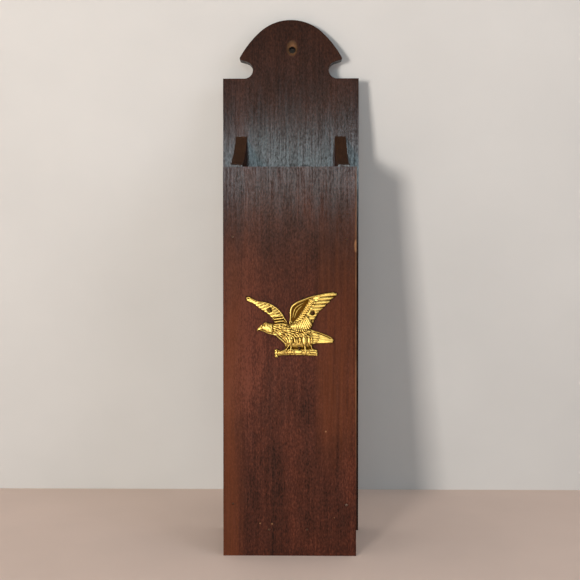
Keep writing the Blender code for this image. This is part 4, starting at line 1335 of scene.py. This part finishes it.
class MATCHHOLDER_OT_eagle(Operator):
    """The eagle pressed from brass sheet"""

    bl_idname = "matchholder.eagle"
    bl_label = "Brass eagle"

    def execute(self, context):
        settings = context.scene.match_eagle
        cell = settings.cell / MM
        wide = (EAGLE_HIGH.x - EAGLE_LOW.x) / MM
        tall = (EAGLE_HIGH.z - EAGLE_LOW.z) / MM
        margin = 5 * cell
        columns = math.ceil((wide + 2 * margin) / cell)
        rows = math.ceil((tall + 2 * margin) / cell)
        deselect()
        bpy.ops.mesh.primitive_grid_add(x_subdivisions=columns, y_subdivisions=rows, size=1.0)
        obj = bpy.context.object
        obj.name = obj.data.name = "pressed_eagle"
        count = len(obj.data.vertices)
        if count != (columns + 1) * (rows + 1):
            raise RuntimeError("the eagle's sheet has an unexpected number of points")
        spots = np.zeros(count * 3)
        obj.data.vertices.foreach_get("co", spots)
        spots = spots.reshape(-1, 3)
        across = (spots[:, 0] + 0.5) * columns * cell - margin
        up = (spots[:, 1] + 0.5) * rows * cell - margin

        relief = Relief(across, up, wide, tall)
        strike_eagle(relief, settings.barb / MM)
        shape = (rows + 1, columns + 1)
        inside = relief.inside.reshape(shape)
        height = relief.height.reshape(shape)
        sheet = settings.sheet / MM
        mask = (inside > -cell).astype(float)
        height = evened(height, mask, 1)
        # Tarnish in the hollows and on the low parts, partly painted shade
        tarnish_and_shade = tarnish_and_shade_left(height, mask)
        q = np.clip(inside / (settings.edge_round / MM), 0.0, 1.0)
        height = sheet + (np.maximum(height, sheet) - sheet) * np.sqrt(1.0 - (1.0 - q) ** 2)
        height = np.minimum(height, (EAGLE_HIGH.y - EAGLE_LOW.y) / MM)

        # Points near the outline move onto it
        slope_up, slope_across = np.gradient(inside, cell)
        steep = np.maximum(slope_up**2 + slope_across**2, 0.25)
        snapped = (inside > -0.75 * cell) & (inside < 0.45 * cell)
        move = np.where(snapped, -inside / steep, 0.0)
        across = across + np.clip(move * slope_across, -cell, cell).ravel()
        up = up + np.clip(move * slope_up, -cell, cell).ravel()
        height = np.where(snapped, sheet, height)
        kept = (inside > -0.75 * cell).ravel()

        places = np.stack([
            EAGLE_LOW.x + across * MM, EAGLE_HIGH.y - height.ravel() * MM, EAGLE_LOW.z + up * MM,
        ], axis=1)
        obj.data.vertices.foreach_set("co", places.ravel())
        obj.data.attributes.new("hollow", "FLOAT", "POINT").data.foreach_set("value", tarnish_and_shade.ravel())
        obj.data.update()
        bpy.ops.object.mode_set(mode="EDIT")
        bpy.ops.mesh.select_mode(type="VERT")
        bpy.ops.mesh.select_all(action="DESELECT")
        bpy.ops.object.mode_set(mode="OBJECT")
        obj.data.vertices.foreach_set("select", ~kept)
        close_sheet(obj)
        make_active(obj)
        bpy.ops.object.shade_smooth_by_angle(angle=math.radians(55.0))
        obj.data.materials.append(pressed_brass(context))
        finish_piece(obj, "brass", "brass_eagle")
        return {"FINISHED"}


# The stage


def area_lamp(name, place, aim, size, power, colour):
    data = bpy.data.lights.new(name, "AREA")
    data.shape = "RECTANGLE"
    data.size, data.size_y = size
    data.energy = power
    data.color = colour[:3]
    lamp = bpy.data.objects.new(name, data)
    bpy.context.scene.collection.objects.link(lamp)
    lamp.location = place
    lamp.rotation_euler = (Vector(aim) - Vector(place)).to_track_quat("-Z", "Y").to_euler()


class MATCHHOLDER_OT_stage(Operator):
    """Camera, lamps, pale floor and wall"""

    bl_idname = "matchholder.stage"
    bl_label = "Stage"

    def execute(self, context):
        settings = context.scene.match_stage
        deselect()
        bpy.ops.mesh.primitive_plane_add(size=6.0, location=(0.0, 0.0, 0.0))
        floor = bpy.context.object
        floor.name = "floor"
        floor.data.materials.append(plain_cloth("laid_cloth", settings.floor))
        deselect()
        lean = (math.pi / 2 + settings.wall_lean, 0.0, 0.0)
        foot = BACK_FACE + settings.wall_gap + BACK_HIGH.z * math.tan(settings.wall_lean)
        bpy.ops.mesh.primitive_plane_add(size=6.0, location=(0.0, foot, 0.0), rotation=lean)
        wall = bpy.context.object
        wall.name = "wall"
        wall.data.materials.append(plain_cloth("painted_wall", settings.wall, one_sided=True))

        for name, place, aim, size, hue in LAMPS:
            area_lamp(name, place, aim, size, getattr(settings, name), srgb(hue))

        world = bpy.data.worlds.new("room")
        context.scene.world = world
        world.use_nodes = True
        tree = world.node_tree
        background = tree.nodes["Background"]
        # The room's far side, behind the viewer, is dim, so that the varnish doesn't mirror a bright wall
        way = node(tree, "TexCoord", {}, {}, "Generated")
        behind = node(tree, "VectorMath", {"operation": "DOT_PRODUCT"}, {0: way, 1: (0.0, -1.0, 0.0)}, "Value")
        light = node(tree, "ValToRGB", {"stops": ((0.55, srgb("#f2efec")), (0.93, srgb("#4a4846")))}, {0: behind})
        tree.links.new(light, background.inputs["Color"])
        background.inputs["Strength"].default_value = settings.sky

        data = bpy.data.cameras.new("camera")
        data.lens = CAMERA_LENS
        data.sensor_width = 36.0
        camera = bpy.data.objects.new("camera", data)
        context.scene.collection.objects.link(camera)
        camera.location = CAMERA_PLACE
        camera.rotation_euler = CAMERA_WAY.to_track_quat("-Z", "Y").to_euler()
        data.clip_start = 0.01
        context.scene.camera = camera
        context.scene.view_settings.view_transform = "Standard"
        return {"FINISHED"}


class MATCHHOLDER_PT_panel(Panel):
    """Lists the holder's pieces and their settings"""

    bl_label = "Match holder"
    bl_idname = "MATCHHOLDER_PT_panel"
    bl_space_type = "VIEW_3D"
    bl_region_type = "UI"
    bl_category = "Match holder"

    def draw(self, context):
        for operator in OPERATORS:
            self.layout.operator(operator.bl_idname)
        for group in GROUPS:
            settings = getattr(context.scene, group)
            for name in type(settings).__annotations__:
                self.layout.prop(settings, name)


GROUPS = {
    "match_holder": HolderSettings,
    "match_finish": FinishSettings,
    "match_eagle": EagleSettings,
    "match_stage": StageSettings,
}
OPERATORS = (
    MATCHHOLDER_OT_stage,
    MATCHHOLDER_OT_front,
    MATCHHOLDER_OT_backboard,
    MATCHHOLDER_OT_sides,
    MATCHHOLDER_OT_bottom,
    MATCHHOLDER_OT_brads,
    MATCHHOLDER_OT_eagle,
    MATCHHOLDER_OT_pins,
)


def register():
    for made in (*GROUPS.values(), *OPERATORS, MATCHHOLDER_PT_panel):
        bpy.utils.register_class(made)
    for name, group in GROUPS.items():
        setattr(bpy.types.Scene, name, PointerProperty(type=group))


def unregister():
    for name in GROUPS:
        delattr(bpy.types.Scene, name)
    for made in (MATCHHOLDER_PT_panel, *reversed(OPERATORS), *reversed(GROUPS.values())):
        bpy.utils.unregister_class(made)


def main():
    register()
    bpy.ops.matchholder.stage()
    bpy.ops.matchholder.front()
    bpy.ops.matchholder.backboard()
    bpy.ops.matchholder.sides()
    bpy.ops.matchholder.bottom()
    bpy.ops.matchholder.brads()
    bpy.ops.matchholder.eagle()
    bpy.ops.matchholder.pins()


if __name__ == "__main__":
    main()
